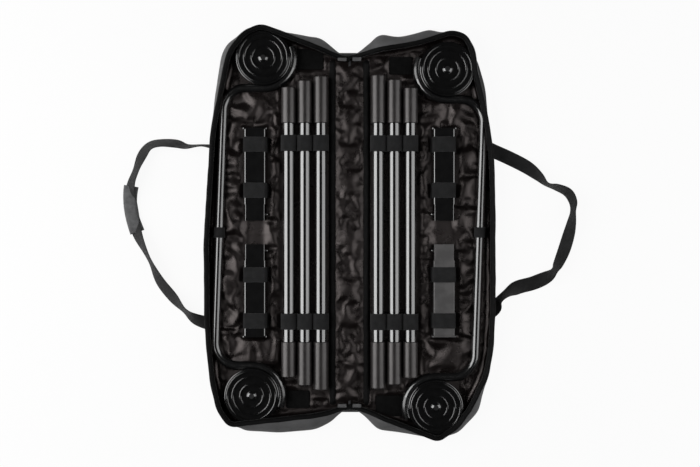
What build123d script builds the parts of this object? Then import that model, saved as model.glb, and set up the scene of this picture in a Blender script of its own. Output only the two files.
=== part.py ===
"""A roundnet set packed in its carry bag, with the bag unzipped and laid open on the floor.

The bag is a clamshell: two shallow padded trays joined by a flat spine panel. Each tray holds one
half of the set under elastic loops: three straight poles with a thick sleeve at each end, a bent
base tube whose ends hook round two stepped foot discs, and two telescopic box legs.

Millimetres. Z is up, Y runs along the spine, and the origin is on the floor under the middle of
the spine. The right tray is the left tray turned half a turn about Z, so each piece is made once,
on the left, and a turned copy of it is the right one.
"""

import math
import os

from build123d import *

# ---------------------------------------------------------------- bag
SPINE_HALF = 46.0  # from the middle of the spine to each fold line
SPINE_HALF_LENGTH = 490.0
SPINE_LINING_HALF = 40.0
SPINE_LINING_HALF_LENGTH = 470.0
FOLD_GAP = 0.8  # between the spine panel and a tray's base panel
RIM_Z = 46.0  # top of the tray walls
SHELL_WALL = 1.6
BOARD_THICK = 2.0
BOARD_MARGIN = 2.0  # between the board's edge and the lining's wall
LINING_WALL = 0.8
SEAT_GAP = 0.3  # what lies in the tray stays this far above the lining
LINING_Z = SHELL_WALL + BOARD_THICK + LINING_WALL
SEAT_Z = LINING_Z + SEAT_GAP
WALL_INSET = SHELL_WALL + LINING_WALL

# The walls dip towards the spine, from the rim to this height at the fold.
DIP_Z = 20.0
DIP_LONG = 48.0

# The left tray's rim, from the spine round the far side and back: x, y, corner radius.
RIM_CORNERS = [
    (-236.0, 561.0, 50.0),
    (-284.0, 541.0, 80.0),
    (-330.0, 484.0, 100.0),
    (-371.0, 275.0, 600.0),
    (-389.0, -20.0, 800.0),
    (-387.0, -250.0, 800.0),
    (-375.0, -395.0, 250.0),
    (-352.0, -474.0, 120.0),
    (-314.0, -526.0, 60.0),
    (-234.0, -524.0, 200.0),
]
RIM_START_Y = 490.0
RIM_END_Y = -494.0
TRAY_X = -SPINE_HALF - FOLD_GAP  # the tray's edge at the spine
OVERRUN = 30.0  # outlines run this far past that edge before they are cut to it

# ---------------------------------------------------------------- zip
TAPE_WIDE = 6.0
TAPE_THICK = 0.8
COIL_WIDE = 2.6
COIL_DEEP = 1.8
SLIDER_LONG, SLIDER_WIDE, SLIDER_THICK = 11.0, 9.0, 3.0
SLIDER_Y = 480.0
EAR_THICK, EAR_HIGH, EAR_LONG = 1.2, 4.6, 5.0
PULL_LONG, PULL_THICK = 30.0, 1.8
PULL_PIN_R = 1.0
PULL_BARREL_R = 2.0
PIN_GAP = 0.1
PULL_SIDE_GAP = 0.3

# ---------------------------------------------------------------- seam binding and hook-and-loop
BINDING_WIDE = 8.0
BINDING_THICK = 0.8
PATCH_WIDE, PATCH_LONG, PATCH_THICK = 66.0, 44.0, 1.0
PATCH_TOP = (-98.0, 470.0)
PATCH_END = (-134.0, -462.0)

# ---------------------------------------------------------------- poles
POLE_R = 16.0
POLE_WALL = 1.5
SLEEVE_R = POLE_R + 4.0
SLEEVE_GAP = 0.05
SLEEVE_CAP = 4.0  # thickness of the sleeve's closed end
SLEEVE_EDGE = 2.5
SLEEVE_START = 295.0  # from the tray's middle to the sleeve's open end
POLE_Z = SEAT_Z + SLEEVE_R
POLE_OUTER_X = -164.5
POLE_PITCH = 2 * SLEEVE_R + 3.5
# For each pole, from the tray's middle towards the spine: the ends of its two sleeves.
POLE_ENDS = {"outer": (392.0, -390.0), "middle": (410.0, -412.0), "inner": (421.0, -424.0)}

# ---------------------------------------------------------------- foot discs
DISC_TOP = (-233.0, 472.0)
DISC_END = (-264.0, -441.0)
DISC_R = 74.0
DISC_BODY_R = 65.0
DISC_FLANGE_THICK = 3.5
DISC_FLANGE_EDGE = 1.2
# Rings moulded in the top, from the flange in: outer radius, height above the flange's top.
DISC_RINGS = [(63.0, 5.5), (58.0, 2.5), (48.0, 4.5), (44.0, 1.5), (33.0, 3.5), (29.0, 1.0)]
HUB_R, HUB_HIGH = 12.0, 3.0
STUD_R, STUD_HEAD_R, STUD_HEAD_HIGH, STUD_LONG = 3.0, 7.0, 2.5, 18.0

# ---------------------------------------------------------------- bent base tube
BASE_TUBE_R = 12.0
BASE_TUBE_WALL = 1.5
BASE_TUBE_Z = SEAT_Z + BASE_TUBE_R + 0.8
BASE_BEND_R = 62.0
HOOK_PAST = 22.0  # degrees that each hook runs past the side of its disc
TIP_GROW = 0.8
HOOK_GAP = 2.2  # between a disc's body and the tip hooked round it
HOOK_R = DISC_BODY_R + HOOK_GAP + TIP_GROW + BASE_TUBE_R  # about the disc's centre
TIP_GAP = 0.05
TIP_SWEEP = 40.0  # degrees of the hook that its moulded tip covers
TIP_CAP_SWEEP = 3.0  # degrees of it that are closed, past the tube's end
BASE_RUN_TOP = (-342.0, 331.0)  # two points of the straight run
BASE_RUN_END = (-364.0, -304.0)
DISC_FLANGE_GAP = 0.6  # between a hook's tip and the flange above it
DISC_FLANGE_Z = BASE_TUBE_Z + BASE_TUBE_R + TIP_GROW + DISC_FLANGE_GAP

# ---------------------------------------------------------------- telescopic legs
LEG_X = -255.5
LEG_WIDE, LEG_HIGH, LEG_WALL, LEG_CORNER = 57.0, 28.0, 2.0, 4.0
LEG_FIT = 0.35
FLANGE_WIDE, FLANGE_HIGH, FLANGE_THICK = LEG_WIDE + 9.0, LEG_HIGH + 6.0, 3.5
LEG_MID_Z = SEAT_Z + FLANGE_HIGH / 2
LEG_FLANGE_Y = 282.0  # the flange's outer face
LEG_MOUTH_Y = 76.0  # where the outer box ends
LEG_TIP_Y = 32.0  # where the inner box ends
INNER_HIDDEN = 90.0  # length of the inner box inside the outer one
BUTTON_R, BUTTON_OUT, BUTTON_FROM_TIP = 4.0, 8.0, 17.0
BUTTON_HEAD_R, BUTTON_HEAD_THICK = 6.0, 1.5
BUTTON_GAP = 0.1
BUTTON_SEAT_GAP = 0.3
LOCK_HOLES = 3
LOCK_PITCH = 30.0
LOCK_FROM_MOUTH = 24.0

# ---------------------------------------------------------------- elastic loops
LOOP_THICK = 1.2
LOOP_GAP = 0.4
LOOP_FOOT = 3.5
POLE_LOOP_WIDE = 43.0
POLE_LOOP_YS = (241.0, -240.0)
LEG_LOOP_WIDE = 41.0
LEG_LOOP_YS = (238.0, 114.0, -114.0, -238.0)
LEG_LOOP_CORNER = 3.0
BASE_LOOP_WIDE = 28.0
BASE_LOOP_Y = 0.0

# ---------------------------------------------------------------- handles
STRAP_WIDE = 38.0
STRAP_THICK = 2.4
STRAP_Z = 0.4
LEFT_HANDLE_GAP, RIGHT_HANDLE_GAP = 1.0, 0.4  # between the shell's edge and a handle's root
# The left handle's route on the floor, from its upper root to its lower one.
LEFT_ROUTE = [
    (-350.0, 229.0),
    (-452.0, 228.0),
    (-512.0, 231.0),
    (-560.0, 208.0),
    (-588.0, 150.0),
    (-596.0, 85.0),
    (-582.0, 15.0),
    (-551.0, -62.0),
    (-500.0, -150.0),
    (-440.0, -206.0),
    (-352.0, -262.0),
]
# The right handle's route, written as it would lie on the left.
RIGHT_ROUTE = [
    (-352.0, 238.0),
    (-432.0, 180.0),
    (-505.0, 143.0),
    (-556.0, 103.0),
    (-583.0, 38.0),
    (-597.0, -24.0),
    (-588.0, -84.0),
    (-536.0, -132.0),
    (-462.0, -178.0),
    (-352.0, -246.0),
]
ROUTE_BEND_R = 40.0
WRAP_FROM, WRAP_TO = (-594.0, 122.0), (-576.0, 4.0)  # the grip wrap's two ends
WRAP_WIDE, WRAP_THICK, WRAP_GAP = 43.0, 1.6, 0.1

TURNED_END = {"upper": "lower", "lower": "upper"}


def save(part, label):
    """Label one piece and write it as a STEP file."""
    part.label = label
    export_step(part, f"parts/{label}.step")


def save_pair(part, label, end=None):
    """Write a left tray's piece and the right tray's copy of it, turned half a turn about Z.

    A piece that has an upper and a lower one changes ends as it turns.
    """
    left = f"left_{end}_{label}" if end else f"left_{label}"
    right = f"right_{TURNED_END[end]}_{label}" if end else f"right_{label}"
    turned = part.rotate(Axis.Z, 180)
    save(part, left)
    save(turned, right)


def edge_x(y):
    """The x of the left tray's far edge at a given y, along the straight sides of its outline."""
    for (x0, y0, _), (x1, y1, _) in zip(RIM_CORNERS, RIM_CORNERS[1:]):
        if y1 <= y <= y0:
            return x0 + (x1 - x0) * (y0 - y) / (y0 - y1)
    return RIM_CORNERS[0][0]


def tray_outline(inset, reach=0.0):
    """Sketch the left tray's outline, inset from the rim line, up to the spine's side less reach."""
    first, last = RIM_CORNERS[0], RIM_CORNERS[-1]
    start_slope = (first[1] - RIM_START_Y) / (first[0] - TRAY_X)
    end_slope = (last[1] - RIM_END_Y) / (last[0] - TRAY_X)
    start = (TRAY_X + OVERRUN, RIM_START_Y + OVERRUN * start_slope)
    end = (TRAY_X + OVERRUN, RIM_END_Y + OVERRUN * end_slope)
    corners = [(x, y) for x, y, _ in RIM_CORNERS]
    with BuildSketch(mode=Mode.PRIVATE) as outline:
        with BuildLine():
            rim = FilletPolyline(start, *corners, end, radius=[radius for _, _, radius in RIM_CORNERS])
            Line(rim @ 1, rim @ 0)
        make_face()
        if inset:
            offset(amount=-inset, kind=Kind.INTERSECTION)
        with Locations((TRAY_X - reach - 300, 0)):
            Rectangle(600, 1400, mode=Mode.INTERSECT)
    return outline.sketch


def cut_dip():
    """Cut a tray's walls down to the fold, at both ends of the spine."""
    slope = (RIM_Z - DIP_Z) / DIP_LONG
    with BuildSketch(Plane.XZ.offset(-700), mode=Mode.PRIVATE) as wedge:
        Polygon(
            (TRAY_X + 5, DIP_Z - 5 * slope),
            (TRAY_X - 2 * DIP_LONG, DIP_Z + 2 * DIP_LONG * slope),
            (TRAY_X + 5, DIP_Z + 2 * DIP_LONG * slope),
            align=None,
        )
    extrude(wedge.sketch, amount=1400, mode=Mode.SUBTRACT)


# ================================================================ bag
def make_spine():
    """The flat panel between the trays, its lining and the bindings over its two seams."""
    with BuildPart() as spine_panel:
        Box(2 * SPINE_HALF, 2 * SPINE_HALF_LENGTH, SHELL_WALL, align=(Align.CENTER, Align.CENTER, Align.MIN))
        fillet(spine_panel.edges().filter_by(Axis.Z), 6)
    save(spine_panel.part, "spine_panel")

    with BuildPart() as spine_lining:
        with BuildSketch(Plane.XY.offset(SHELL_WALL)):
            RectangleRounded(2 * SPINE_LINING_HALF, 2 * SPINE_LINING_HALF_LENGTH, 5)
        extrude(amount=LINING_WALL)
    save(spine_lining.part, "spine_lining")

    with BuildPart() as seam_bindings:
        with BuildSketch(Plane.XY.offset(SHELL_WALL + LINING_WALL)):
            for way in (-1, 1):
                with Locations((way * (SPINE_LINING_HALF - BINDING_WIDE / 2), 0)):
                    Rectangle(BINDING_WIDE, 2 * SPINE_LINING_HALF_LENGTH - 10)
        extrude(amount=BINDING_THICK)
    save(seam_bindings.part, "seam_bindings")


def make_tray():
    """A tray's outer shell, stiffening board, lining and zip tape."""
    with BuildPart() as shell:
        with BuildSketch():
            add(tray_outline(0))
        extrude(amount=RIM_Z)
        with BuildSketch(Plane.XY.offset(SHELL_WALL)):
            add(tray_outline(SHELL_WALL))
        extrude(amount=RIM_Z, mode=Mode.SUBTRACT)
        cut_dip()
    save_pair(shell.part, "shell")

    with BuildPart() as base_board:
        with BuildSketch(Plane.XY.offset(SHELL_WALL)):
            add(tray_outline(WALL_INSET + BOARD_MARGIN, reach=BOARD_MARGIN))
        extrude(amount=BOARD_THICK)
    save_pair(base_board.part, "base_board")

    with BuildPart() as lining:
        with BuildSketch(Plane.XY.offset(LINING_Z - LINING_WALL)):
            add(tray_outline(SHELL_WALL))
        extrude(amount=RIM_Z - LINING_Z + LINING_WALL)
        with BuildSketch(Plane.XY.offset(LINING_Z)):
            add(tray_outline(WALL_INSET))
        extrude(amount=RIM_Z, mode=Mode.SUBTRACT)
        cut_dip()
    save_pair(lining.part, "lining")

    with BuildPart() as zip_tape:
        with BuildSketch(Plane.XY.offset(RIM_Z)):
            add(tray_outline(0, reach=DIP_LONG))
            add(tray_outline(TAPE_WIDE), mode=Mode.SUBTRACT)
        extrude(amount=TAPE_THICK)
        with BuildSketch(Plane.XY.offset(RIM_Z - COIL_DEEP)):
            add(tray_outline(TAPE_WIDE - COIL_WIDE, reach=DIP_LONG))
            add(tray_outline(TAPE_WIDE), mode=Mode.SUBTRACT)
        extrude(amount=COIL_DEEP)
    save_pair(zip_tape.part, "zip_tape")


def make_zip_slider():
    """The slider parked at one end of the zip, with its pull lying back over the spine."""
    pin_z = SHELL_WALL + SLIDER_THICK + EAR_HIGH - PULL_BARREL_R
    with BuildPart() as slider:
        with BuildSketch(Plane.XY.offset(SHELL_WALL)):
            with Locations((0, SLIDER_Y)):
                RectangleRounded(SLIDER_WIDE, SLIDER_LONG, 2)
        extrude(amount=SLIDER_THICK)
        with BuildSketch(Plane.XY.offset(SHELL_WALL + SLIDER_THICK)):
            for way in (-1, 1):
                with Locations((way * (SLIDER_WIDE - EAR_THICK) / 2, SLIDER_Y)):
                    Rectangle(EAR_THICK, EAR_LONG)
        extrude(amount=EAR_HIGH)
        with BuildSketch(Plane.YZ.offset(-SLIDER_WIDE / 2)):
            with Locations((SLIDER_Y, pin_z)):
                Circle(PULL_PIN_R)
        extrude(amount=SLIDER_WIDE)

    with BuildPart() as pull:
        half = SLIDER_WIDE / 2 - EAR_THICK - PULL_SIDE_GAP
        with BuildSketch(Plane.YZ.offset(-half)):
            with Locations((SLIDER_Y, pin_z)):
                Circle(PULL_BARREL_R)
            with Locations((SLIDER_Y - PULL_LONG / 2, pin_z)):
                Rectangle(PULL_LONG, PULL_THICK)
            with Locations((SLIDER_Y, pin_z)):
                Circle(PULL_PIN_R + PIN_GAP, mode=Mode.SUBTRACT)
        extrude(amount=2 * half)

    save(slider.part, "upper_zip_slider")
    save(pull.part, "upper_zip_pull")
    save(slider.part.rotate(Axis.Z, 180), "lower_zip_slider")
    save(pull.part.rotate(Axis.Z, 180), "lower_zip_pull")


def make_patches():
    """The two hook-and-loop patches on a tray's lining, beside the discs."""
    with BuildPart() as patches:
        with BuildSketch(Plane.XY.offset(LINING_Z)):
            for place in (PATCH_TOP, PATCH_END):
                with Locations(place):
                    RectangleRounded(PATCH_WIDE, PATCH_LONG, 3)
        extrude(amount=PATCH_THICK)
    save_pair(patches.part, "disc_patches")


# ================================================================ contents
def pole_x(index):
    """The x of a pole's axis, counted from the tray's middle towards the spine."""
    return POLE_OUTER_X + index * POLE_PITCH


def make_pole(index, name):
    """A straight pole and the two sleeves that cap its ends."""
    top, end = POLE_ENDS[name]
    inside = SLEEVE_CAP + SLEEVE_GAP
    with BuildPart() as pole:
        with BuildSketch(Plane.XZ.offset(-(end + inside))):
            with Locations((pole_x(index), POLE_Z)):
                Circle(POLE_R)
                Circle(POLE_R - POLE_WALL, mode=Mode.SUBTRACT)
        extrude(amount=-(top - end - 2 * inside))
    save_pair(pole.part, f"{name}_pole")

    with BuildPart() as sleeves:
        for tip, way in ((top, 1), (end, -1)):
            long = abs(tip) - SLEEVE_START
            with BuildSketch(Plane.XZ.offset(-way * SLEEVE_START)):
                with Locations((pole_x(index), POLE_Z)):
                    Circle(SLEEVE_R)
            extrude(amount=-way * long)
            with BuildSketch(Plane.XZ.offset(-way * SLEEVE_START)):
                with Locations((pole_x(index), POLE_Z)):
                    Circle(POLE_R + SLEEVE_GAP)
            extrude(amount=-way * (long - SLEEVE_CAP), mode=Mode.SUBTRACT)
        outer_rims = sleeves.edges().filter_by(GeomType.CIRCLE).filter_by(lambda e: e.radius > POLE_R + 1)
        fillet(outer_rims, SLEEVE_EDGE)
    save_pair(sleeves.part, f"{name}_pole_sleeves")


def make_disc(place, end):
    """A foot disc with moulded rings, and the stud through its middle."""
    centre = Plane(origin=(place[0], place[1], 0), x_dir=(1, 0, 0), z_dir=(0, -1, 0))
    flange_top = DISC_FLANGE_Z + DISC_FLANGE_THICK
    outline = [(0, SEAT_Z), (DISC_BODY_R, SEAT_Z), (DISC_BODY_R, DISC_FLANGE_Z), (DISC_R, DISC_FLANGE_Z)]
    outline.append((DISC_R, flange_top))
    level = 0.0
    for radius, height in DISC_RINGS:
        outline.append((radius, flange_top + level))
        outline.append((radius, flange_top + height))
        level = height
    outline += [(HUB_R, flange_top + level), (HUB_R, flange_top + HUB_HIGH), (0, flange_top + HUB_HIGH)]
    head_z = flange_top + HUB_HIGH
    with BuildPart() as disc:
        with BuildSketch(centre):
            with BuildLine():
                Polyline(*outline, close=True)
            make_face()
        revolve(axis=Axis((place[0], place[1], 0), (0, 0, 1)))
        with BuildSketch(Plane.XY.offset(head_z - STUD_LONG)):
            with Locations(place):
                Circle(STUD_R)
        extrude(amount=STUD_LONG, mode=Mode.SUBTRACT)
        rim = disc.edges().filter_by(GeomType.CIRCLE).filter_by(lambda e: abs(e.radius - DISC_R) < 0.01)
        fillet(rim, DISC_FLANGE_EDGE)
    save_pair(disc.part, "foot_disc", end)

    with BuildPart() as stud:
        with BuildSketch(Plane.XY.offset(head_z - STUD_LONG)):
            with Locations(place):
                Circle(STUD_R)
        extrude(amount=STUD_LONG)
        with BuildSketch(Plane.XY.offset(head_z)):
            with Locations(place):
                Circle(STUD_HEAD_R)
        extrude(amount=STUD_HEAD_HIGH)
        fillet(stud.edges().group_by(Axis.Z)[-1], 1)
    save_pair(stud.part, "disc_stud", end)


def run_corner(y):
    """The point of the base tube's straight run, carried on to a given y."""
    (x0, y0), (x1, y1) = BASE_RUN_TOP, BASE_RUN_END
    return (x0 + (x1 - x0) * (y0 - y) / (y0 - y1), y)


def make_base_tube():
    """The bent tube whose ends hook round the two discs, and its two moulded tips."""
    top_entry = (DISC_TOP[0], DISC_TOP[1] - HOOK_R)
    end_entry = (DISC_END[0], DISC_END[1] + HOOK_R)
    tube_sweep = 90 + HOOK_PAST - TIP_CAP_SWEEP
    with BuildPart() as base_tube:
        with BuildLine(Plane.XY.offset(BASE_TUBE_Z)) as route:
            upper = CenterArc(DISC_TOP, HOOK_R, HOOK_PAST - TIP_CAP_SWEEP, -tube_sweep)
            body = FilletPolyline(
                top_entry,
                run_corner(top_entry[1]),
                run_corner(end_entry[1]),
                end_entry,
                radius=BASE_BEND_R,
            )
            CenterArc(DISC_END, HOOK_R, 90, -tube_sweep)
        start = Plane(origin=upper @ 0, z_dir=upper % 0)
        with BuildSketch(start):
            Circle(BASE_TUBE_R)
            Circle(BASE_TUBE_R - BASE_TUBE_WALL, mode=Mode.SUBTRACT)
        sweep(path=route.wire())
    save_pair(base_tube.part, "base_tube")

    with BuildPart() as tips:
        for place, angle, way in ((DISC_TOP, HOOK_PAST, -1), (DISC_END, -HOOK_PAST, 1)):
            axis = Axis((place[0], place[1], 0), (0, 0, way))
            closed = math.radians(angle)
            tube_end = math.radians(angle + way * TIP_CAP_SWEEP)
            for turn, radius, sweep_angle, mode in (
                (closed, BASE_TUBE_R + TIP_GROW, TIP_SWEEP, Mode.ADD),
                (tube_end, BASE_TUBE_R + TIP_GAP, TIP_SWEEP - TIP_CAP_SWEEP, Mode.SUBTRACT),
            ):
                middle = (place[0] + HOOK_R * math.cos(turn), place[1] + HOOK_R * math.sin(turn), BASE_TUBE_Z)
                section = Plane(origin=middle, x_dir=(0, 0, 1), z_dir=(-math.sin(turn), math.cos(turn), 0))
                with BuildSketch(section):
                    Circle(radius)
                revolve(axis=axis, revolution_arc=sweep_angle, mode=mode)
    save_pair(tips.part, "base_tube_tips")


def make_leg(end):
    """One telescopic leg: the outer box with its end plate, the inner box and the snap button."""
    inner_wide = LEG_WIDE - 2 * (LEG_WALL + LEG_FIT)
    inner_high = LEG_HIGH - 2 * (LEG_WALL + LEG_FIT)
    inner_corner = LEG_CORNER - LEG_WALL
    button_y = LEG_TIP_Y + BUTTON_FROM_TIP

    def across(y):
        """The plane across the leg at a given y; its own z runs towards the flange."""
        return Plane(origin=(LEG_X, y, LEG_MID_Z), x_dir=(-1, 0, 0), z_dir=(0, 1, 0))

    def side(x):
        """The plane along the leg's side at a given x; its own z runs towards the spine."""
        return Plane(origin=(x, 0, LEG_MID_Z), x_dir=(0, 1, 0), z_dir=(1, 0, 0))

    with BuildPart() as outer_box:
        with BuildSketch(across(LEG_MOUTH_Y)):
            RectangleRounded(LEG_WIDE, LEG_HIGH, LEG_CORNER)
        extrude(amount=LEG_FLANGE_Y - LEG_MOUTH_Y)
        with BuildSketch(across(LEG_FLANGE_Y - FLANGE_THICK)):
            RectangleRounded(FLANGE_WIDE, FLANGE_HIGH, LEG_CORNER)
        extrude(amount=FLANGE_THICK)
        with BuildSketch(across(LEG_MOUTH_Y)):
            RectangleRounded(LEG_WIDE - 2 * LEG_WALL, LEG_HIGH - 2 * LEG_WALL, inner_corner + LEG_FIT)
        extrude(amount=LEG_FLANGE_Y - FLANGE_THICK - LEG_MOUTH_Y, mode=Mode.SUBTRACT)
        with BuildSketch(side(LEG_X + LEG_WIDE / 2 - 2 * LEG_WALL)):
            for hole in range(LOCK_HOLES):
                with Locations((LEG_MOUTH_Y + LOCK_FROM_MOUTH + hole * LOCK_PITCH, 0)):
                    Circle(BUTTON_R + BUTTON_GAP)
        extrude(amount=4 * LEG_WALL, mode=Mode.SUBTRACT)

    inner_side = LEG_X + inner_wide / 2
    with BuildPart() as inner_box:
        with BuildSketch(across(LEG_TIP_Y)):
            RectangleRounded(inner_wide, inner_high, inner_corner)
        extrude(amount=LEG_MOUTH_Y + INNER_HIDDEN - LEG_TIP_Y)
        with BuildSketch(across(LEG_TIP_Y + LEG_WALL)):
            RectangleRounded(inner_wide - 2 * LEG_WALL, inner_high - 2 * LEG_WALL, inner_corner / 2)
        extrude(amount=LEG_MOUTH_Y + INNER_HIDDEN, mode=Mode.SUBTRACT)
        with BuildSketch(side(inner_side - 2 * LEG_WALL)):
            with Locations((button_y, 0)):
                Circle(BUTTON_R + BUTTON_GAP)
        extrude(amount=4 * LEG_WALL, mode=Mode.SUBTRACT)

    with BuildPart() as button:
        seat = inner_side - LEG_WALL - BUTTON_SEAT_GAP
        with BuildSketch(side(seat)):
            with Locations((button_y, 0)):
                Circle(BUTTON_R)
        extrude(amount=LEG_WALL + BUTTON_SEAT_GAP + BUTTON_OUT)
        fillet(button.edges().group_by(Axis.X)[-1], 1.5)
        with BuildSketch(side(seat - BUTTON_HEAD_THICK)):
            with Locations((button_y, 0)):
                Circle(BUTTON_HEAD_R)
        extrude(amount=BUTTON_HEAD_THICK)

    for built, label in ((outer_box, "leg_outer"), (inner_box, "leg_inner"), (button, "leg_button")):
        piece = built.part if end == "upper" else mirror(built.part, about=Plane.XZ, mode=Mode.PRIVATE)
        save_pair(piece, label, end)


# ================================================================ straps
def arch_sketch(plane, half_wide, top, corner):
    """Sketch an elastic loop's section: up from the lining, over a piece and down, with two feet."""
    outer = half_wide + LOOP_GAP + LOOP_THICK
    crown = top + LOOP_GAP + LOOP_THICK
    floor = LINING_Z - 50.0
    with BuildSketch(plane) as section:
        with Locations((0, (crown + floor) / 2)):
            RectangleRounded(2 * outer, crown - floor, corner + LOOP_THICK)
        with Locations((0, (crown + floor) / 2 - LOOP_THICK)):
            RectangleRounded(2 * (outer - LOOP_THICK), crown - floor, corner, mode=Mode.SUBTRACT)
        with Locations((0, LINING_Z + 100)):
            Rectangle(4 * outer, 200, mode=Mode.INTERSECT)
        for way in (-1, 1):
            with Locations((way * (outer + LOOP_FOOT / 2 - 0.01), LINING_Z + LOOP_THICK / 2)):
                Rectangle(LOOP_FOOT, LOOP_THICK)
    return section.sketch


def make_loops():
    """The elastic loops: one over each end of each pole, two over each leg, one over the base tube."""
    with BuildPart() as pole_loops:
        for y in POLE_LOOP_YS:
            for index in range(len(POLE_ENDS)):
                across = Plane(
                    origin=(pole_x(index), y + POLE_LOOP_WIDE / 2, 0), x_dir=(1, 0, 0), z_dir=(0, -1, 0)
                )
                extrude(arch_sketch(across, POLE_R, POLE_Z + POLE_R, POLE_R), amount=POLE_LOOP_WIDE)
    save_pair(pole_loops.part, "pole_loops")

    with BuildPart() as outer_loops:
        for y in LEG_LOOP_YS:
            across = Plane(origin=(LEG_X, y + LEG_LOOP_WIDE / 2, 0), x_dir=(1, 0, 0), z_dir=(0, -1, 0))
            over_leg = arch_sketch(across, LEG_WIDE / 2, LEG_MID_Z + LEG_HIGH / 2, LEG_LOOP_CORNER)
            extrude(over_leg, amount=LEG_LOOP_WIDE)
        run = Vector(*BASE_RUN_TOP) - Vector(*BASE_RUN_END)
        start = run_corner(BASE_LOOP_Y + BASE_LOOP_WIDE / 2)
        across = Plane(origin=(start[0], start[1], 0), x_dir=(run.Y, -run.X, 0), z_dir=(-run.X, -run.Y, 0))
        over_tube = arch_sketch(across, BASE_TUBE_R, BASE_TUBE_Z + BASE_TUBE_R, BASE_TUBE_R)
        extrude(over_tube, amount=BASE_LOOP_WIDE)
    save_pair(outer_loops.part, "outer_loops")


# ================================================================ handles
def make_handle(route, gap):
    """A webbing handle, lying on the floor outside a tray's far edge.

    Its fold line runs a small gap outside the edge, past the route's second and last but one points.
    """
    top, end = ((edge_x(y) - gap, y) for y in (route[1][1], route[-2][1]))
    slope = (top[0] - end[0]) / (top[1] - end[1])
    far = 400.0  # past the strap in every direction
    fold_top = (top[0] + slope * far, top[1] + far)
    fold_end = (end[0] - slope * far, end[1] - far)
    outboard = (fold_top, (fold_top[0] - far, fold_top[1]), (fold_end[0] - far, fold_end[1]), fold_end)
    with BuildPart() as handle:
        with BuildSketch(Plane.XY.offset(STRAP_Z)):
            with BuildLine():
                FilletPolyline(*route, radius=ROUTE_BEND_R)
            trace(line_width=STRAP_WIDE)
            with BuildLine():
                Polyline(*outboard, close=True)
            make_face(mode=Mode.INTERSECT)
        extrude(amount=STRAP_THICK)
    return handle.part


def make_handles():
    """Both handles, and the padded grip wrapped round the left one."""
    save(make_handle(LEFT_ROUTE, LEFT_HANDLE_GAP), "left_handle")
    save(make_handle(RIGHT_ROUTE, RIGHT_HANDLE_GAP).rotate(Axis.Z, 180), "right_handle")

    middle = ((WRAP_FROM[0] + WRAP_TO[0]) / 2, (WRAP_FROM[1] + WRAP_TO[1]) / 2)
    way = Vector(*WRAP_TO) - Vector(*WRAP_FROM)
    wrap_z = STRAP_Z + STRAP_THICK + WRAP_GAP
    over = Plane(origin=(middle[0], middle[1], wrap_z), x_dir=(way.X, way.Y, 0), z_dir=(0, 0, 1))
    with BuildPart() as grip_wrap:
        with BuildSketch(over):
            RectangleRounded(way.length, WRAP_WIDE, 4)
        extrude(amount=WRAP_THICK)
    save(grip_wrap.part, "left_grip_wrap")


def main():
    """Build every piece and write it."""
    os.makedirs("parts", exist_ok=True)
    make_spine()
    make_tray()
    make_zip_slider()
    make_patches()
    for index, name in enumerate(POLE_ENDS):
        make_pole(index, name)
    make_disc(DISC_TOP, "upper")
    make_disc(DISC_END, "lower")
    make_base_tube()
    make_leg("upper")
    make_leg("lower")
    make_loops()
    make_handles()


main()
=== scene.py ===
"""The looks of a roundnet set packed in its opened carry bag.

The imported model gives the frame: two trays that fold up on a spine panel, and what lies in them.
Hard pieces keep their own shapes and get finishes here. Cloth, elastic and webbing are modelled.

Metres. Z is up, Y runs along the spine, and the origin is on the floor under its middle. Every soft
piece of a tray is made as it lies on the left, and the right tray's is turned half a turn about Z.
"""

import logging
import math
from dataclasses import dataclass
from enum import Enum
from typing import Callable, Iterable, Sequence

import bmesh
import bpy
import numpy as np
from mathutils import Matrix, Vector, noise


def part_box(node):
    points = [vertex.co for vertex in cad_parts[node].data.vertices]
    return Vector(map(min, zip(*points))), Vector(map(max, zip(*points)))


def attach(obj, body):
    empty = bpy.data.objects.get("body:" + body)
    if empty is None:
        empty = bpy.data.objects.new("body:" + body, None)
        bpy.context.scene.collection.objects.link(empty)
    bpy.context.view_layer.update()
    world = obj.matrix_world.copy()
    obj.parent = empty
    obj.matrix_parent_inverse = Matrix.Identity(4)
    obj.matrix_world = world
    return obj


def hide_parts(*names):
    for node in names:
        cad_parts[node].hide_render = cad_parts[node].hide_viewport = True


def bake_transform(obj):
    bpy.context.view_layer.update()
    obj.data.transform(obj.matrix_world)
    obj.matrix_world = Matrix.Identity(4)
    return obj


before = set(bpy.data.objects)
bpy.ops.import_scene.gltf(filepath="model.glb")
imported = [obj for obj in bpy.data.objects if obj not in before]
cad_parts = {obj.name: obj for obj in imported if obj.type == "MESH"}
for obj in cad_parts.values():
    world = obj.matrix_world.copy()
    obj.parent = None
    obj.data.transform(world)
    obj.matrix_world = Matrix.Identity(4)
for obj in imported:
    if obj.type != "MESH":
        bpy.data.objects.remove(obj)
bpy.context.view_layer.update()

LOG = logging.getLogger("roundnet_bag")


# ---------------------------------------------------------------- names and sides
class Side(Enum):
    """A tray of the bag. The value is the sign of the way its pieces turn about Z."""

    LEFT = 1
    RIGHT = -1

    @property
    def word(self) -> str:
        """The side as it stands in node and body names."""
        return self.name.lower()

    @property
    def half(self) -> str:
        """The body that the tray's pieces ride on."""
        return f"{self.word}_half"

    @property
    def seed(self) -> float:
        """An offset that gives each side its own creases."""
        return 0.0 if self is Side.LEFT else 37.3

    def turned(self, point: Vector) -> Vector:
        """A point of the left tray, where it lies on this side."""
        return Vector((self.value * point.x, self.value * point.y, point.z))


class End(Enum):
    """An end of the spine, as the sign of its Y."""

    UPPER = 1
    LOWER = -1


class Weave(Enum):
    """The pattern of a cloth, read by its finish."""

    PLAIN = "plain"
    RIB = "rib"
    SATIN = "satin"
    PILE = "pile"


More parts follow.
